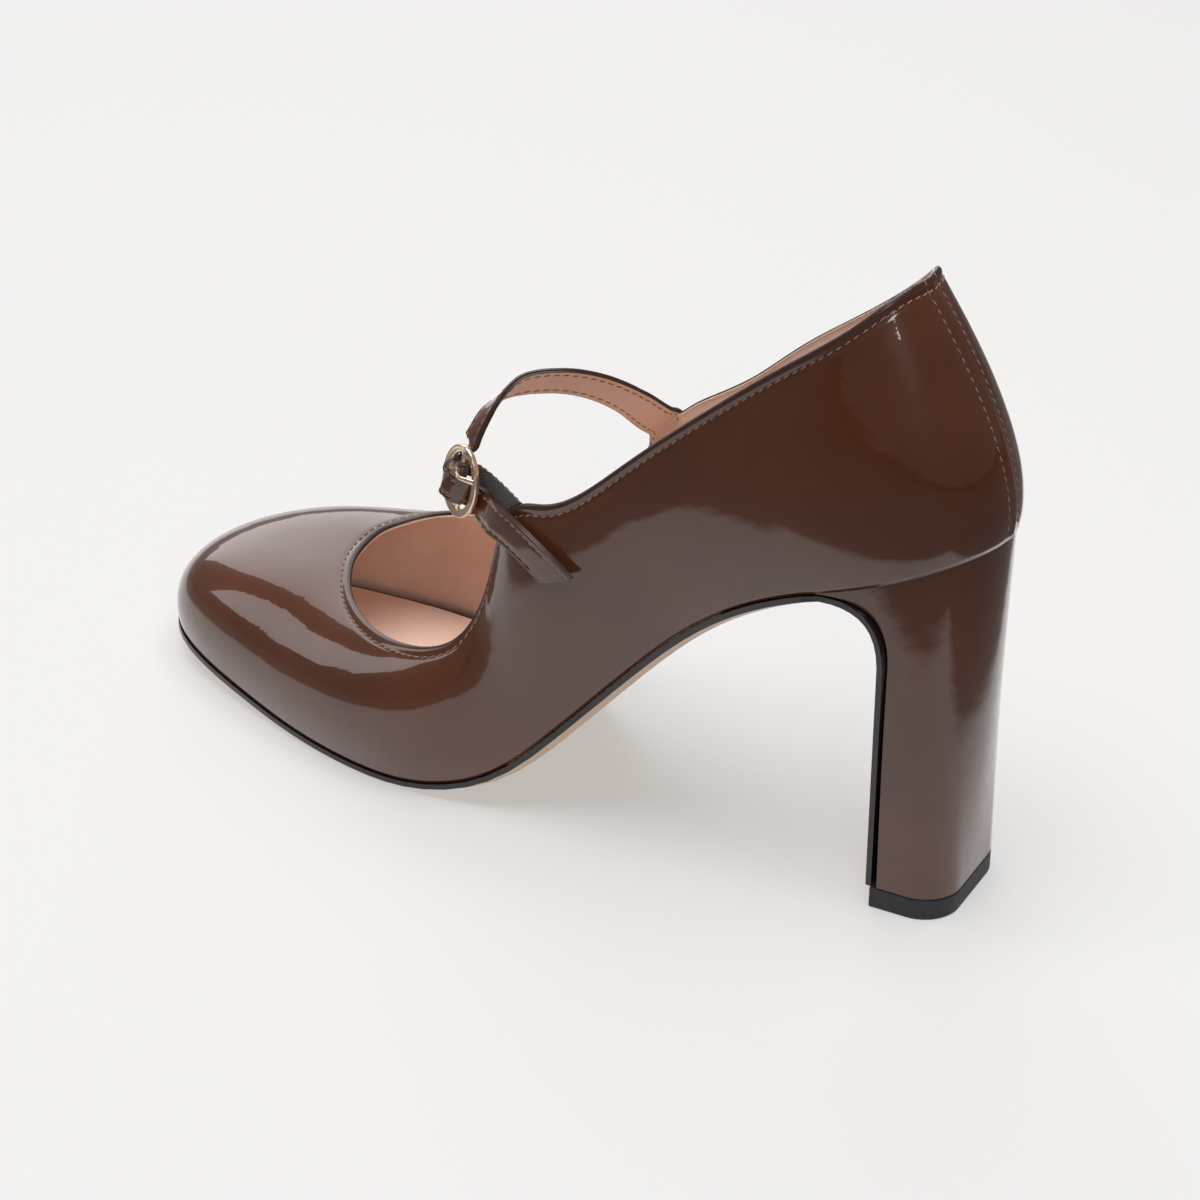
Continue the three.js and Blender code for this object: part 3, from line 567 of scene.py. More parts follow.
def stitches(name, rows, thread_finish, **sizes):
    """One piece with a row of stitches along each path; a row is its points and ways outwards."""
    points, outwards, edges = [], [], []
    for path, outward in rows:
        first = len(points)
        points.extend(path)
        outwards.extend(outward)
        edges.extend((first + i, first + i + 1) for i in range(len(path) - 1))
    mesh = bpy.data.meshes.new(name)
    mesh.from_pydata([tuple(p) for p in points], edges, [])
    store = mesh.attributes.new("outward", "FLOAT_VECTOR", "POINT")
    store.data.foreach_set("vector", np.asarray(outwards, float).ravel())
    piece = linked(name, mesh)
    modifier = piece.modifiers.new("stitch row", "NODES")
    modifier.node_group = stitch_tree()
    sockets = {s.name: s.identifier for s in modifier.node_group.interface.items_tree}
    for label, value in sizes.items():
        modifier[sockets[label.capitalize()]] = value
    modifier[sockets["Thread"]] = thread_finish
    return plain(piece)


# Settings: lengths are written in millimetres here and kept in metres


def number_property(name, description, default, **look):
    return bpy.props.FloatProperty(name=name, description=description, default=default, **look)


def length_property(name, description, millimetres):
    return number_property(name, description, millimetres * MM, unit="LENGTH", precision=5)


def angle_property(name, description, degrees):
    return number_property(name, description, math.radians(degrees), unit="ROTATION")


def power_property(name, description, default):
    return number_property(name, description, default, unit="POWER")


def colour_property(name, description, default):
    look = {"size": 4, "min": 0, "max": 1, "subtype": "COLOR"}
    return bpy.props.FloatVectorProperty(
        name=name, description=description, default=linear(*default), **look
    )


class PumpLook(bpy.types.PropertyGroup):
    """Colours of the shoe."""

    patent: colour_property("Patent", "Colour under the gloss", (86, 45, 23))
    lining: colour_property("Lining", "Colour of the lining", (238, 205, 186))
    edge: colour_property("Edge", "Painted edge of the upper", (56, 34, 27))
    thread: colour_property("Thread", "Stitches in the upper", (150, 118, 98))
    sole: colour_property("Sole", "Underside of the outsole", (216, 188, 164))
    sole_edge: colour_property("Sole edge", "Painted edge of the outsole", (22, 17, 18))
    gold: colour_property("Buckle", "Metal of the buckle", (252, 226, 200))
    elastic: colour_property("Elastic", "Knit keeper of the buckle", (64, 42, 36))
    rubber: colour_property("Tip", "Rubber of the heel tip", (36, 36, 42))


class PumpUpper(bpy.types.PropertyGroup):
    """Sizes of the upper"""

    wall: length_property("Wall", "Thickness of shell and lining together", 1.6)
    edge_roll: length_property("Edge roll", "Depth of the rounded topline edge", 0.8)
    shell: length_property("Shell", "Thickness of the patent leather alone", 0.95)
    stitch_depth: length_property("Stitch depth", "From the topline to its stitches", 2.5)
    stitch_groove: length_property("Stitch groove", "How deep stitches pull the leather", 0.2)
    back_seam: length_property("Back seam", "How far the seam at the back stands out", 0.3)
    rim: length_property("Rim", "How far the turned edge stands out", 0.28)
    pitch: length_property("Stitch pitch", "From stitch to stitch", 2.3)


class PumpStrap(bpy.types.PropertyGroup):
    """Sizes of the strap and its buckle"""

    width: length_property("Width", "Width of the strap", 8)
    thickness: length_property("Thickness", "Patent and lining together", 1.3)
    arch: length_property("Arch", "How high the strap stands over the instep", 20.3)
    tail_skew: length_property("Tail skew", "Slant of the cut end", 2.4)
    skirt: length_property("Skirt", "How far the strap runs down the quarter", 5)
    stitch_inset: length_property("Stitch inset", "From the strap's edge to its stitches", 1.15)
    ring_length: length_property("Ring length", "Long way across the ring", 18.8)
    ring_width: length_property("Ring width", "Short way across the ring", 12.6)
    ring_band: length_property("Ring band", "Width of the ring's band", 2.1)
    keeper_width: length_property("Keeper width", "Width of the elastic at the bar", 3.4)
    keeper_sag: length_property("Keeper sag", "How far the elastic hangs inwards", 3.2)


class PumpStage(bpy.types.PropertyGroup):
    """Camera and light."""

    camera: bpy.props.FloatVectorProperty(
        name="Camera", description="Place of the camera", default=(-0.4244, 0.7126, 0.5214), unit="LENGTH"
    )
    yaw: angle_property("Yaw", "Turn of the camera", 32.1)
    pitch: angle_property("Pitch", "How far the camera looks down", 30)
    lens: number_property("Lens", "Focal length", 120, unit="CAMERA")
    shift: number_property("Shift", "Brings the one shoe to the middle", 0.0925)
    behind: power_property("Behind", "Tall softbox facing the camera", 13.0)
    overhead: power_property("Overhead", "Softbox above", 25.0)
    toe_side: power_property("Toe side", "Softbox beyond the toe", 2.2)
    window: power_property("Window", "Small softbox beside the camera", 3.5)
    surroundings: number_property("Surroundings", "Light from all round", 0.16)
    glow: number_property("Glow", "Light of the floor itself, as a backlit table", 0.42)


# The upper, insole, sole and heel

# Soft forms in the leather, in metres: stitch groove, turned rim, seam at the back
GROOVE_WIDTH = 0.6 * MM
RIM_DEPTH, RIM_WIDTH = 0.7 * MM, 0.9 * MM
SEAM_WIDTH = 0.6 * MM
# The grooves beside the back seam: share of the topline's groove, and width
BACK_GROOVE, BACK_GROOVE_WIDTH = 0.6, 0.5 * MM
# Columns to either side of the back that are searched for a length from its seam
BACK_COLUMNS = 30
# Rows on the inside of a layer, and steps of the half round at its edge
INSIDE_ROWS = 24
EDGE_ANGLES = np.linspace(0, math.pi, 7)[1:-1]
# Rows to either side of the topline that are painted as its edge
PAINTED_ROWS = 7
# Between shell and lining, and the depth of the lining's own round edge
LAYER_GAP = 0.04 * MM
LINING_ROLL = 0.3 * MM
# How far stitches stand off the leather: of the topline, the strap and its back
STITCH_LIFT, STRAP_LIFT, BACK_LIFT = 0.12 * MM, 0.05 * MM, 0.02 * MM
TOPLINE_STITCH = {"length": 1.75 * MM, "width": 0.44 * MM, "height": 0.36 * MM}


def wall_grids():
    """The outside of the upper as a grid, with the length of wall above each point."""
    upper = bpy.context.scene.pump_upper
    outside = wall_surface(OUTER_WALL)
    steps = np.linalg.norm(np.diff(outside, axis=1), axis=2)
    depth = np.concatenate([np.zeros((AROUND, 1)), np.cumsum(steps, 1)], 1)
    away = normals(outside)
    if away[0, UP_ROWS // 2, 0] > 0:
        away = -away
    aside = from_back(outside)
    groove = upper.stitch_groove * hump(depth, upper.stitch_depth, GROOVE_WIDTH)
    groove -= upper.rim * hump(depth, RIM_DEPTH, RIM_WIDTH)
    groove -= upper.back_seam * hump(aside, 0, SEAM_WIDTH)
    beside = hump(abs(aside), upper.stitch_depth, BACK_GROOVE_WIDTH)
    groove += BACK_GROOVE * upper.stitch_groove * beside
    return outside - away * groove[..., None], away, depth


def from_back(grid):
    """Length round each row from the seam at the back: positive on the outer side."""
    steps = np.linalg.norm(np.roll(grid, -1, 0) - grid, axis=2)
    onwards = np.concatenate([np.zeros((1, grid.shape[1])), np.cumsum(steps, 0)[:-1]])
    whole = steps.sum(0)
    return np.where(onwards > whole / 2, onwards - whole, onwards)


def beside_back(grid, away, aside):
    """Points and outward directions down the wall, at a length to one side of the back seam."""
    lengths = from_back(grid)
    order = np.r_[-BACK_COLUMNS : BACK_COLUMNS + 1]
    rows = range(4, UP_ROWS - 3)
    points = [read_at(aside, lengths[order, row], grid[order, row]) for row in rows]
    outward = [read_at(aside, lengths[order, row], away[order, row]) for row in rows]
    return np.array(points), unit(np.array(outward))


def at_depth(grid, away, depth, below):
    """Points and outward directions on the wall at a length below the topline."""
    points = [read_at(below, lengths, column) for lengths, column in zip(depth, grid)]
    outward = [read_at(below, lengths, column) for lengths, column in zip(depth, away)]
    return np.array(points), unit(np.array(outward))


def shell_ring(grid, away, roll, thickness):
    """Closed cross-sections of a leather layer: outside, rounded top edge, inside."""
    rows = grid.shape[1]
    keep = np.unique(np.round(np.linspace(0, rows - 1, INSIDE_ROWS)).astype(int))
    inside = grid[:, keep] - away[:, keep] * thickness
    up = unit(grid[:, 0] - grid[:, 2])
    middle = (grid[:, 0] + inside[:, 0]) / 2
    arc = []
    for angle in EDGE_ANGLES:
        side = away[:, 0] * math.cos(angle) * thickness / 2
        arc.append(middle + side + up * math.sin(angle) * min(roll, thickness / 2))
    return np.concatenate([grid[:, ::-1], np.stack(arc, 1), inside], 1)


class PUMP_OT_upper(bpy.types.Operator):
    """Builds the patent shell, its lining and the stitches of its edge"""

    bl_idname = "pump.upper"
    bl_label = "Upper"

    def execute(self, context):
        upper = context.scene.pump_upper
        finish = shades()
        grid, away, depth = wall_grids()
        ring = shell_ring(grid, away, upper.edge_roll, upper.shell)
        kinds = [int(abs(k - UP_ROWS + 0.5) < PAINTED_ROWS) for k in range(ring.shape[1])]
        shell = tube("upper_shell", ring, [finish["patent"], finish["edge"]], kinds)
        settle(shell, "patent", "upper")

        inset = upper.shell + LAYER_GAP
        inside = (grid - away * inset)[:, 1:]
        ring = shell_ring(inside, away[:, 1:], LINING_ROLL, upper.wall - inset)
        settle(tube("upper_lining", ring, [finish["lining"]]), "lining", "upper")

        points, outward = at_depth(grid, away, depth, upper.stitch_depth)
        points = points + outward * STITCH_LIFT
        around = np.arange(AROUND) / AROUND
        first, last = np.searchsorted(around, (NECK_REAR, NECK_FRONT))
        order = np.r_[first:AROUND, 0:last]
        rows = [
            (points[order], outward[order]),
            beside_back(grid, away, upper.stitch_depth),
            beside_back(grid, away, -upper.stitch_depth),
        ]
        sewn = stitches("topline_stitches", rows, finish["thread"], pitch=upper.pitch, **TOPLINE_STITCH)
        settle(sewn, "patent")
        return {"FINISHED"}


class PUMP_OT_insole(bpy.types.Operator):
    """Builds the insole board and the sock lining on it"""

    bl_idname = "pump.insole"
    bl_label = "Insole"

    def execute(self, context):
        finish = shades()
        dress("insole", "insole_board", finish["patent"], "patent", 0.3 * MM)
        dress("sock", "sock_lining", finish["lining"], "lining", 0.25 * MM)
        return {"FINISHED"}


class PUMP_OT_sole(bpy.types.Operator):
    """Builds the outsole with its painted edge"""

    bl_idname = "pump.sole"
    bl_label = "Outsole"

    def execute(self, context):
        finish = shades()
        sole = frame_copy("outsole", "outsole_leather", [finish["sole"], finish["sole_edge"]], 20)
        for face in sole.data.polygons:
            under = face.normal.z < -0.35
            front_of_flap = face.normal.x > 0.6 and face.center.x < 0
            face.material_index = 0 if under or front_of_flap else 1
        settle(rounded(sole, 0.25 * MM, angle=30, material=1), "sole", "outsole")
        return {"FINISHED"}


class PUMP_OT_heel(bpy.types.Operator):
    """Builds the covered heel and its rubber tip"""

    bl_idname = "pump.heel"
    bl_label = "Heel"

    def execute(self, context):
        finish = shades()
        dress("heel_block", "heel_cover", finish["patent"], "patent", 0.35 * MM)
        dress("top_lift", "heel_tip", finish["rubber"], "rubber", 0.4 * MM)
        return {"FINISHED"}


# The strap's line, the ring and what holds it, in the terms of the CAD part


def topline(around, wall=OUTER_WALL, row=0):
    """Point on the topline, or on a row of the wall under it, at a share once round the foot."""
    return round_spline(wall[:, row], [around])[0]


def through(points, at):
    """Places and headings on a smooth curve through points; at runs evenly from 0 to 1."""
    points = np.asarray(points, float)
    held = np.vstack([2 * points[0] - points[1], points, 2 * points[-1] - points[-2]])
    place = at * (len(points) - 1)
    i = np.minimum(place.astype(int), len(points) - 2)
    u = (place - i)[:, None]
    a, b, c, d = (held[i + k] for k in range(4))
    pairs = ((a, b), (b, c), (c, d))
    ab, bc, cd = (np.linalg.norm(q - p, axis=1)[:, None] ** 0.5 for p, q in pairs)
    leave = bc * ((b - a) / ab - (c - a) / (ab + bc) + (c - b) / bc)
    reach = bc * ((c - b) / bc - (d - b) / (bc + cd) + (d - c) / cd)
    square = 3 * (c - b) - 2 * leave - reach
    cube = 2 * (b - c) + leave + reach
    spot = b + leave * u + square * u**2 + cube * u**3
    return spot, unit(leave + 2 * square * u + 3 * cube * u**2)


def bezier(start, leave, arrive, end, at):
    """Points on the curve from start to end that is pulled to leave and arrive."""
    u = at[:, None]
    first = start * (1 - u) ** 3 + leave * 3 * u * (1 - u) ** 2
    return first + arrive * 3 * u**2 * (1 - u) + end * u**3


# forth: share of the way from the neck to the ring; rise, ahead: of the arch; wide: of the width;
# turn_ahead, turn_off: how the line across the strap turns from the ring's length
STRAP_OVER = (
    (0.13, 0.274, -0.162, 1.16, 0.55, 0.17),
    (0.271, 0.607, -0.19, 1.04, 0.55, 0.17),
    (0.413, 0.863, -0.115, 1, 0.55, 0.17),
    (0.555, 0.994, 0, 1, 0.55, 0.17),
    (0.696, 0.985, 0.125, 1, 0.58, 0.16),
    (0.818, 0.8, 0.137, 0.95, 0.78, 0.13),
    (0.909, 0.466, 0.12, 0.78, 0.72, 0.1),
)
# down: share of the ring's length; ahead, off: of its width; then as above
STRAP_THROUGH = (
    (-0.394, 0.21, -0.25, 0.58, 0.9, -0.7),
    (-0.277, 0.222, -0.145, 0.4, 0.55, -1.1),
    (-0.16, 0.266, -0.04, 0.6, 0, -0.65),
    (-0.074, 0.25, 0.143, 0.76, 0, -0.2),
    (-0.011, 0.151, 0.305, 0.85, 0.05, 0),
    (0.021, 0.024, 0.294, 0.85, 0.1, 0),
    (0.053, -0.12, 0.235, 0.82, 0.15, 0),
    (0.09, -0.222, 0.09, 0.8, 0.25, 0),
    (0.122, -0.25, -0.04, 0.8, 0.25, 0),
    (0.165, -0.365, -0.125, 0.88, 0.3, 0),
    (0.207, -0.54, -0.125, 0.97, 0.3, 0),
    (0.197, -0.778, -0.056, 1, 0.33, 0),
    (0.176, -1.07, 0.02, 1, 0.35, 0),
    (0.172, -1.516, 0.05, 1, 0.35, 0),
    (0.221, -1.968, 0.035, 1, 0.35, 0),
    (0.314, -2.333, -0.05, 1, 0.35, 0),
    (0.461, -2.722, -0.21, 1, 0.35, 0),
)
# Creases across the strap where it goes through the ring: place, width, depth in mm, slant
CREASES_AT_RING = (
    (0.02, 0.006, 0.12, 2.0),
    (0.4, 0.004, 0.16, -1.0),
    (0.455, 0.004, 0.14, 1.5),
    (0.5, 0.003, 0.12, -2.0),
    (0.62, 0.004, 0.12, 1.0),
    (0.665, 0.004, 0.14, -1.5),
)
# Columns of the strap from its middle to one edge, closer together at the edge
STRAP_SIDES = (0, 0.15, 0.3, 0.45, 0.57, 0.64, 0.7, 0.76, 0.82, 0.9, 0.97, 1)
# Rows of the strap: down the quarter, rising from its rim, and from there to the tail
SKIRT_ROWS, RISE_ROWS, BAND_ROWS = 8, 24, 340
STRAP_STITCH = {"pitch": 2.3 * MM, "length": 1.75 * MM, "width": 0.42 * MM, "height": 0.34 * MM}
STRAP_GROOVE_WIDTH = 0.45 * MM
# How deep the stitches pull its two faces, and how far it swells between them
STRAP_GROOVE, STRAP_BACK_GROOVE, STRAP_PILLOW = 0.07 * MM, 0.1 * MM, 0.1 * MM
# The patent's share of the strap's thickness, and how far it stands over the CAD strap
STRAP_COVER, STRAP_OVERLAP = 0.55, 0.06 * MM
# The strap's end: drawn in to this share of its section, and this far beyond the last row
END_SHARE, END_BEYOND = 0.97, 0.12 * MM
# The neck of the strap and the elastic's corner, in shares once round the topline
NECK_REAR, NECK_FRONT, NECK_LEAN = 0.77, 0.727, 0.8
KEEPER_CORNER, KEEPER_SPREAD = 0.262, 0.008
RING_DOWN = unit(np.array([0.12, 0.04, -1]))
RING_OFF = np.array([0.36, 0.93, 0])
RING_OFF = unit(RING_OFF - RING_DOWN * (RING_OFF @ RING_DOWN))
RING_AHEAD = -np.cross(RING_OFF, RING_DOWN)
RING_CENTRE = topline(KEEPER_CORNER) + np.array([0.212, -0.055, 0.027]) * 74 * MM
# The ring's section: share of the band from its inner to its outer rim, height in mm
RING_SECTION = (
    (0.0, -0.45),
    (0.0, 0.15),
    (0.06, 0.36),
    (0.16, 0.46),
    (0.5, 0.52),
    (0.7, 0.6),
    (0.8, 0.7),
    (0.93, 0.66),
    (1.0, 0.42),
    (1.0, -0.42),
    (0.9, -0.66),
    (0.12, -0.66),
)
RING_STEPS = 160
ROD_CORNERS = 16
BAR_RADIUS = 0.6 * MM
# The prong: its place along the ring, radius, hook round the bar, and tip on the ring
PRONG_PLACE = -0.17
PRONG_RADIUS = 0.55 * MM
PRONG_HOOK = 1.35 * MM
PRONG_TIP = 1.5 * MM
PRONG_STEPS = 60
# Between hook and tip: ahead of the bar and off the ring, in shares of its width
PRONG_RISE = ((-0.095, 0.205), (-0.22, 0.245), (-0.36, 0.19))
# The elastic: rows and columns, its start behind the bar and its end short of the topline
KEEPER_ROWS, KEEPER_COLUMNS = 46, 15
KEEPER_BEHIND, KEEPER_SHORT = 0.8 * MM, 0.6 * MM


def ring_point(down, ahead, off):
    """A place from the ring's centre: down its length, ahead across it and off its face."""
    down, ahead, off = (np.asarray(v, float)[..., None] for v in (down, ahead, off))
    return RING_CENTRE + RING_DOWN * down + RING_AHEAD * ahead + RING_OFF * off


def strap_grid(sizes, sides):
    """Outside of the strap: [row from the neck to the tail][side to side], half widths, neck rows."""
    over = np.array(STRAP_OVER)
    tail = np.array(STRAP_THROUGH)
    neck = topline((NECK_REAR + NECK_FRONT) / 2)
    arch = np.array([over[:, 2], 0 * over[:, 2], over[:, 1]]).T * sizes.arch
    line = neck + over[:, :1] * (RING_CENTRE - neck) + arch
    scale = (sizes.ring_length, sizes.ring_width, sizes.ring_width)
    round_ring = ring_point(*(tail[:, :3] * scale).T)
    shape = np.vstack([over[:, 3:], tail[:, 3:]])
    share = np.linspace(0, 1, BAND_ROWS)
    spot, heading = through(np.vstack([line, round_ring]), share)
    knots = np.linspace(0, 1, len(shape))
    wide, ahead, off = (np.interp(share, knots, shape[:, k])[:, None] for k in range(3))
    across = RING_DOWN + RING_AHEAD * ahead + RING_OFF * off
    across = unit(across - heading * np.sum(across * heading, 1, keepdims=True))
    half = wide[:, 0] * sizes.width / 2
    reach = np.asarray(sides)[None, :, None]
    skew = smooth(share, 0.85, 1)[:, None, None] * sizes.tail_skew
    sideways = across[:, None] * reach * half[:, None, None]
    band = spot[:, None] + sideways - heading[:, None] * reach * skew

    rim = unit(topline(NECK_FRONT) - topline(NECK_REAR))
    neck_rows = []
    for k, side in enumerate(sides):
        around = NECK_REAR + (NECK_FRONT - NECK_REAR) * (side + 1) / 2
        column = round_spline(OUTER_WALL, [around])[0]
        lengths = np.concatenate([[0], np.cumsum(np.linalg.norm(np.diff(column, axis=0), axis=1))])
        down = sizes.skirt * (1 - np.arange(SKIRT_ROWS) / SKIRT_ROWS)
        skirt = np.array(read_at(down, lengths, column)).T
        start = column[0]
        end = band[0, k]
        wall_end = unit(start - column[1])
        rising = unit(wall_end + rim * NECK_LEAN * (1 - side) / 2)
        pull = np.linalg.norm(end - start) * 0.4
        steps = np.arange(RISE_ROWS) / RISE_ROWS
        rise = bezier(start, start + rising * pull, end - heading[0] * pull, end, steps)
        neck_rows.append(np.vstack([skirt, rise]))
    neck_part = np.array(neck_rows).transpose(1, 0, 2)
    first = np.linalg.norm(neck_part[:, -1] - neck_part[:, 0], axis=1) / 2
    return np.concatenate([neck_part, band]), np.concatenate([first, half]), len(neck_part)


def strip_layer(name, surface, inward, near, far, materials):
    """A closed layer of a strip between two depths behind a surface, with round long edges."""
    columns = surface.shape[1]
    top = surface + inward * near
    bottom = surface + inward * far
    half = (far - near) / 2

    def long_edge(edge, beside, angles):
        out = unit(surface[:, edge] - surface[:, beside]) * half * 0.7
        middle = (top[:, edge] + bottom[:, edge]) / 2
        depth = inward[:, edge] * half
        return np.stack([middle - depth * math.cos(t) + out * math.sin(t) for t in angles], 1)

    far_side = long_edge(-1, -2, EDGE_ANGLES)
    near_side = long_edge(0, 1, EDGE_ANGLES[::-1])
    ring = np.concatenate([top, far_side, bottom[:, ::-1], near_side], 1)
    centre = ring.mean(1, keepdims=True)
    beyond = unit(surface[-1] - surface[-2]).mean(0)
    last = centre[-1] + (ring[-1] - centre[-1]) * END_SHARE + beyond * END_BEYOND
    ring = np.concatenate([ring, last[None]])
    painted = [1] * (len(EDGE_ANGLES) + 1)
    kinds = [0] * (columns - 1) + painted + [0] * (columns - 1) + painted
    return tube(name, ring, materials, kinds, end=1)


class PUMP_OT_strap(bpy.types.Operator):
    """Builds the strap: patent outside, lining behind it and stitches through both"""

    bl_idname = "pump.strap"
    bl_label = "Strap"

    def execute(self, context):
        finish = shades()
        sizes = context.scene.pump_strap
        sides = [-v for v in STRAP_SIDES[:0:-1]] + list(STRAP_SIDES)
        grid, half, neck = strap_grid(sizes, sides)
        inward = sheet_normals(grid)
        rows = len(grid)
        side = np.array(sides)[None, :]
        groove = hump((1 - abs(side)) * half[:, None], sizes.stitch_inset, STRAP_GROOVE_WIDTH)
        pillow = STRAP_PILLOW * (1 - side**2)
        share = (np.arange(rows) - neck)[:, None] / (rows - neck)
        crumple = 0
        for place, width, depth, slant in CREASES_AT_RING:
            crumple = crumple + depth * MM * hump(share + slant * side * 0.01, place, width)
        outside = grid + inward * (STRAP_GROOVE * groove - pillow + crumple)[..., None]
        cover = sizes.thickness * STRAP_COVER
        materials = [finish["patent"], finish["edge"]]
        leather = strip_layer("strap_leather", outside, inward, -STRAP_OVERLAP, cover, materials)
        settle(leather, "patent", "strap")
        behind = grid + inward * (sizes.thickness - STRAP_BACK_GROOVE * groove)[..., None]
        thickness = sizes.thickness - cover - 0.03 * MM
        materials = [finish["lining"], finish["edge"]]
        inner = strip_layer("strap_lining", behind, -inward, 0, thickness, materials)
        settle(inner, "lining", "strap")

        paths, backs = [], []
        for edge in (-1, 1):
            at = edge * (1 - sizes.stitch_inset / half)
            path, out, back = (
                np.array([read_at(at[i], sides, face[i]) for i in range(6, rows - 4)])
                for face in (outside, -inward, behind)
            )
            out = unit(out)
            paths.append((path + out * STRAP_LIFT, out))
            backs.append((back - out * BACK_LIFT, -out))
        (first, first_out), (second, second_out) = paths
        joined = np.vstack([first[neck:], second[neck:][::-1]])
        joined_out = np.vstack([first_out[neck:], second_out[neck:][::-1]])
        neck_part = [(path[: neck + 1], out[: neck + 1]) for path, out in paths]
        rows = [(joined, joined_out), *neck_part]
        settle(stitches("strap_stitches", rows, finish["thread"], **STRAP_STITCH), "patent", "strap")
        sewn = stitches("strap_back_stitches", backs, finish["thread"], **STRAP_STITCH)
        settle(sewn, "lining", "strap")
        return {"FINISHED"}


def rod(name, line, radius, aim, materials, flat=1):
    """A rod of round or flattened section along points, its corners counted from an aim."""
    heading = unit(np.gradient(line, axis=0))
    up = unit(aim - heading * (heading @ aim)[:, None])
    side = np.cross(heading, up)
    turn = (2 * math.pi * np.arange(ROD_CORNERS) / ROD_CORNERS)[:, None]
    radius, flat = (np.broadcast_to(v, len(line))[:, None, None] for v in (radius, flat))
    section = up[:, None] * np.cos(turn) + side[:, None] * np.sin(turn) * flat
    return tube(name, line[:, None] + radius * section, materials, end=0)


class PUMP_OT_buckle(bpy.types.Operator):
    """Builds the ring with its bar, the prong and the elastic that holds them"""

    bl_idname = "pump.buckle"
    bl_label = "Buckle"

    def execute(self, context):
        finish = shades()
        sizes = context.scene.pump_strap
        share, height = np.array(RING_SECTION).T
        inset = sizes.ring_band * (1 - share)
        rings = []
        for angle in 2 * math.pi * np.arange(RING_STEPS) / RING_STEPS:
            ahead = (sizes.ring_width / 2 - inset) * math.sin(angle)
            down = (sizes.ring_length / 2 - inset) * math.cos(angle)
            rings.append(ring_point(down, ahead, height * MM))
        ring = tube("ring_metal", np.array(rings), [finish["gold"]])
        settle(ring, "metal", "buckle_ring")
        reach = sizes.ring_length / 2 - sizes.ring_band * 0.6
        line = ring_point(np.linspace(-reach, reach, 9), 0, 0)
        bar = rod("bar_metal", line, BAR_RADIUS, RING_AHEAD, [finish["gold"]])
        settle(bar, "metal", "buckle_ring")

        place = PRONG_PLACE * sizes.ring_length
        angles = np.linspace(-0.3, 0.5, 7) * math.pi
        points = [ring_point(place, PRONG_HOOK * math.cos(a), PRONG_HOOK * math.sin(a)) for a in angles]
        for ahead, off in PRONG_RISE:
            points.append(ring_point(place, ahead * sizes.ring_width, off * sizes.ring_width))
        points.append(ring_point(place, 0.1 * MM - sizes.ring_width / 2, PRONG_TIP))
        share = np.linspace(0, 1, PRONG_STEPS)
        line, _ = through(points, share)
        radius = PRONG_RADIUS * (1 + 0.25 * smooth(share, 0.8, 0.95))
        flat = 1 - 0.35 * smooth(share, 0.75, 0.95)
        prong = rod("prong_metal", line, radius, RING_DOWN, [finish["gold"]], flat)
        settle(rounded(prong, 0.12 * MM, angle=50), "metal", "buckle_prong")

        share = np.linspace(0, 1, KEEPER_ROWS)
        columns = []
        for side in np.linspace(-1, 1, KEEPER_COLUMNS):
            start = ring_point(place + side * sizes.keeper_width / 2, 0, -KEEPER_BEHIND)
            around = KEEPER_CORNER + side * KEEPER_SPREAD
            end = (topline(around) + topline(around, INNER_WALL)) / 2
            end = end + unit(start - end) * KEEPER_SHORT
            leave = start - RING_OFF * sizes.keeper_sag - RING_AHEAD * 0.5 * MM
            arrive = end + (start - end) * 0.35 - RING_OFF * sizes.keeper_sag / 3
            columns.append(bezier(start, leave, arrive, end, share))
        band = np.array(columns).transpose(1, 0, 2)
        inward = sheet_normals(band)
        across = np.cos(np.arange(KEEPER_COLUMNS) * 2.1)
        rib = np.sin(np.arange(KEEPER_ROWS) * 1.6)[:, None] * across * 0.14 * MM
        band = band + inward * rib[..., None]
        materials = [finish["elastic"], finish["elastic"]]
        keeper = strip_layer("keeper_elastic", band, inward, -0.1 * MM, 0.5 * MM, materials)
        settle(keeper, "elastic", "buckle_loop")
        sleeve = frame_copy("buckle_loop", "keeper_sleeve", [finish["elastic"]])
        settle(sleeve, "elastic", "buckle_loop")
        return {"FINISHED"}


FLOOR_HALF = 6.0
SHOE_MIDDLE = Vector((0, 0, 0.05))


def softbox(name, place, size, power):
    """A rectangular light that faces the shoe."""
    light = bpy.data.lights.new(name, "AREA")
    light.shape = "RECTANGLE"
    light.size, light.size_y = size
    light.energy = power
    lamp = linked(name, light)
    lamp.location = place
    lamp.rotation_mode = "QUATERNION"
    lamp.rotation_quaternion = (SHOE_MIDDLE - Vector(place)).to_track_quat("-Z", "Y")


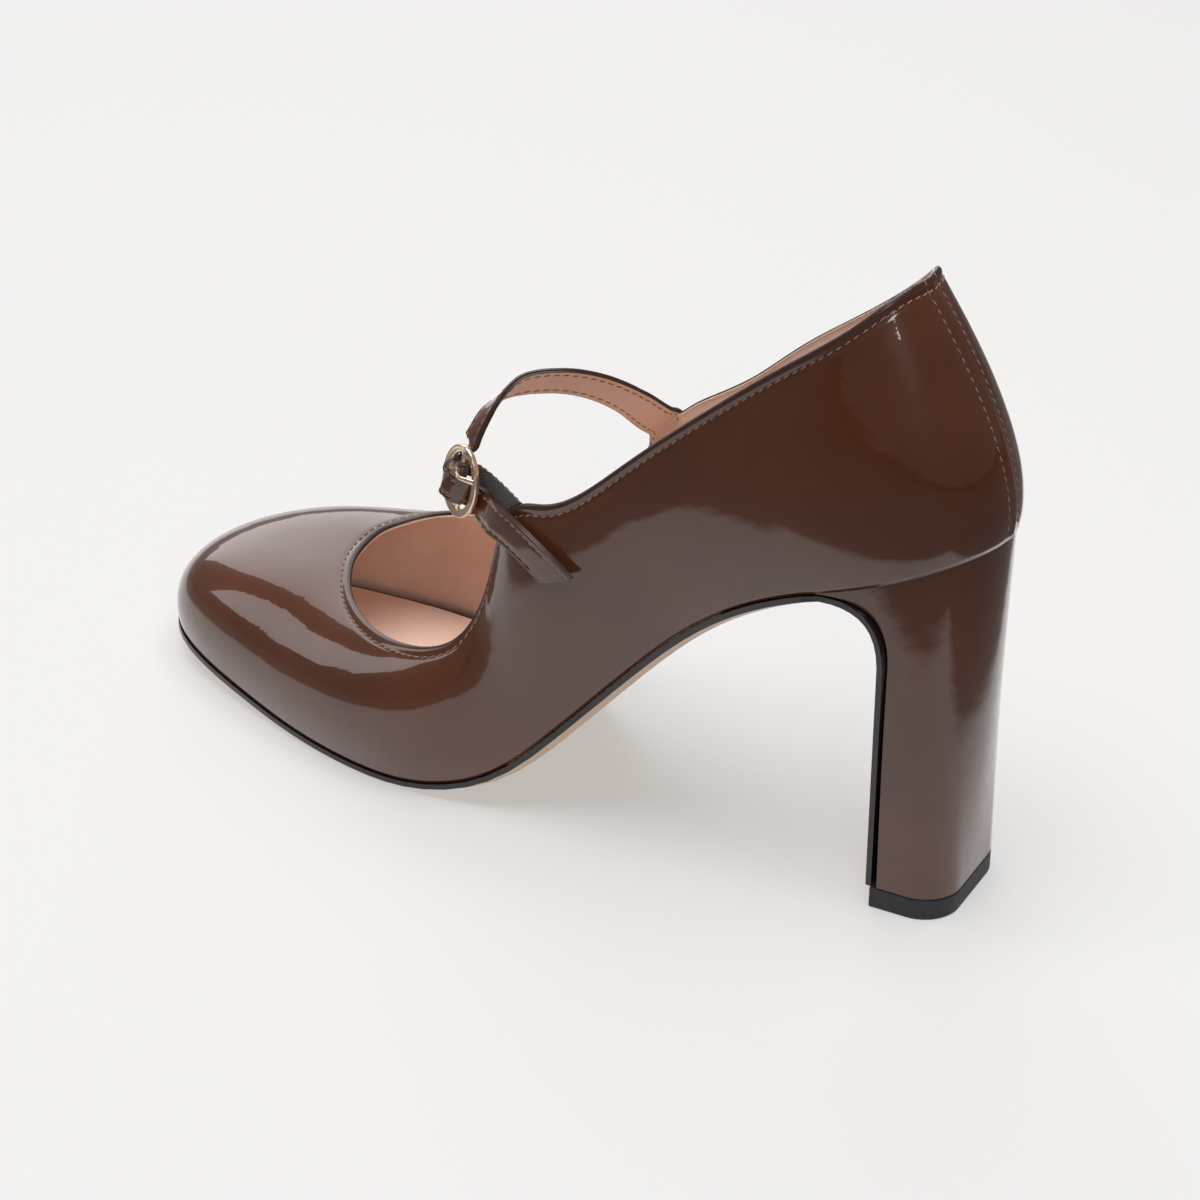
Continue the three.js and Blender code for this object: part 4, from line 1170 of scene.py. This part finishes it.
class PUMP_OT_stage(bpy.types.Operator):
    """Sets the floor, the light and the camera"""

    bl_idname = "pump.stage"
    bl_label = "Stage"

    def execute(self, context):
        stage = context.scene.pump_stage
        corners = [(x * FLOOR_HALF, y * FLOOR_HALF, 0) for x, y in ((-1, -1), (1, -1), (1, 1), (-1, 1))]
        floor = mesh_object("floor", corners, [(0, 1, 2, 3)], [pale_paper(stage)])

        softbox("behind", (1.15, -1.35, 1.0), (1.75, 1.6), stage.behind)
        softbox("overhead", (-0.1, 0.1, 1.6), (1.5, 1.1), stage.overhead)
        softbox("toe side", (1.35, 0.45, 0.75), (0.5, 0.8), stage.toe_side)
        softbox("window", (-0.95, 1.2, 1.0), (0.35, 0.5), stage.window)

        world = bpy.data.worlds.new("studio")
        world.use_nodes = True
        air = world.node_tree.nodes["Background"]
        air.inputs["Color"].default_value = (0.95, 0.95, 1, 1)
        air.inputs["Strength"].default_value = stage.surroundings
        context.scene.world = world

        lens = bpy.data.cameras.new("camera")
        lens.lens = stage.lens
        lens.sensor_width = 36
        lens.shift_x = stage.shift
        lens.clip_end = 50
        camera = linked("camera", lens)
        camera.location = stage.camera
        level = math.cos(stage.pitch)
        ahead = (math.sin(stage.yaw) * level, -math.cos(stage.yaw) * level, -math.sin(stage.pitch))
        camera.rotation_mode = "QUATERNION"
        camera.rotation_quaternion = Vector(ahead).to_track_quat("-Z", "Y")
        context.scene.camera = camera
        context.scene.view_settings.view_transform = "Standard"
        return {"FINISHED"}


class PUMP_PT_panel(bpy.types.Panel):
    """Lists the shoe's pieces and settings"""

    bl_label = "Pump"
    bl_space_type = "VIEW_3D"
    bl_region_type = "UI"
    bl_category = "Pump"

    def draw(self, context):
        layout = self.layout
        for operator in OPERATORS:
            layout.operator(operator.bl_idname)
        for group in GROUPS:
            settings = getattr(context.scene, group)
            box = layout.box()
            for name in settings.bl_rna.properties.keys():
                if name not in ("rna_type", "name"):
                    box.prop(settings, name)


GROUPS = {
    "pump_look": PumpLook,
    "pump_upper": PumpUpper,
    "pump_strap": PumpStrap,
    "pump_stage": PumpStage,
}
OPERATORS = (
    PUMP_OT_stage,
    PUMP_OT_upper,
    PUMP_OT_insole,
    PUMP_OT_sole,
    PUMP_OT_heel,
    PUMP_OT_strap,
    PUMP_OT_buckle,
)


def register():
    for group in (*GROUPS.values(), *OPERATORS, PUMP_PT_panel):
        bpy.utils.register_class(group)
    for name, group in GROUPS.items():
        setattr(bpy.types.Scene, name, bpy.props.PointerProperty(type=group))


def unregister():
    for name in GROUPS:
        delattr(bpy.types.Scene, name)
    for group in (PUMP_PT_panel, *reversed(OPERATORS), *reversed(tuple(GROUPS.values()))):
        bpy.utils.unregister_class(group)


def main():
    register()
    for operator in OPERATORS:
        group, name = operator.bl_idname.split(".")
        getattr(getattr(bpy.ops, group), name)()


if __name__ == "__main__":
    main()
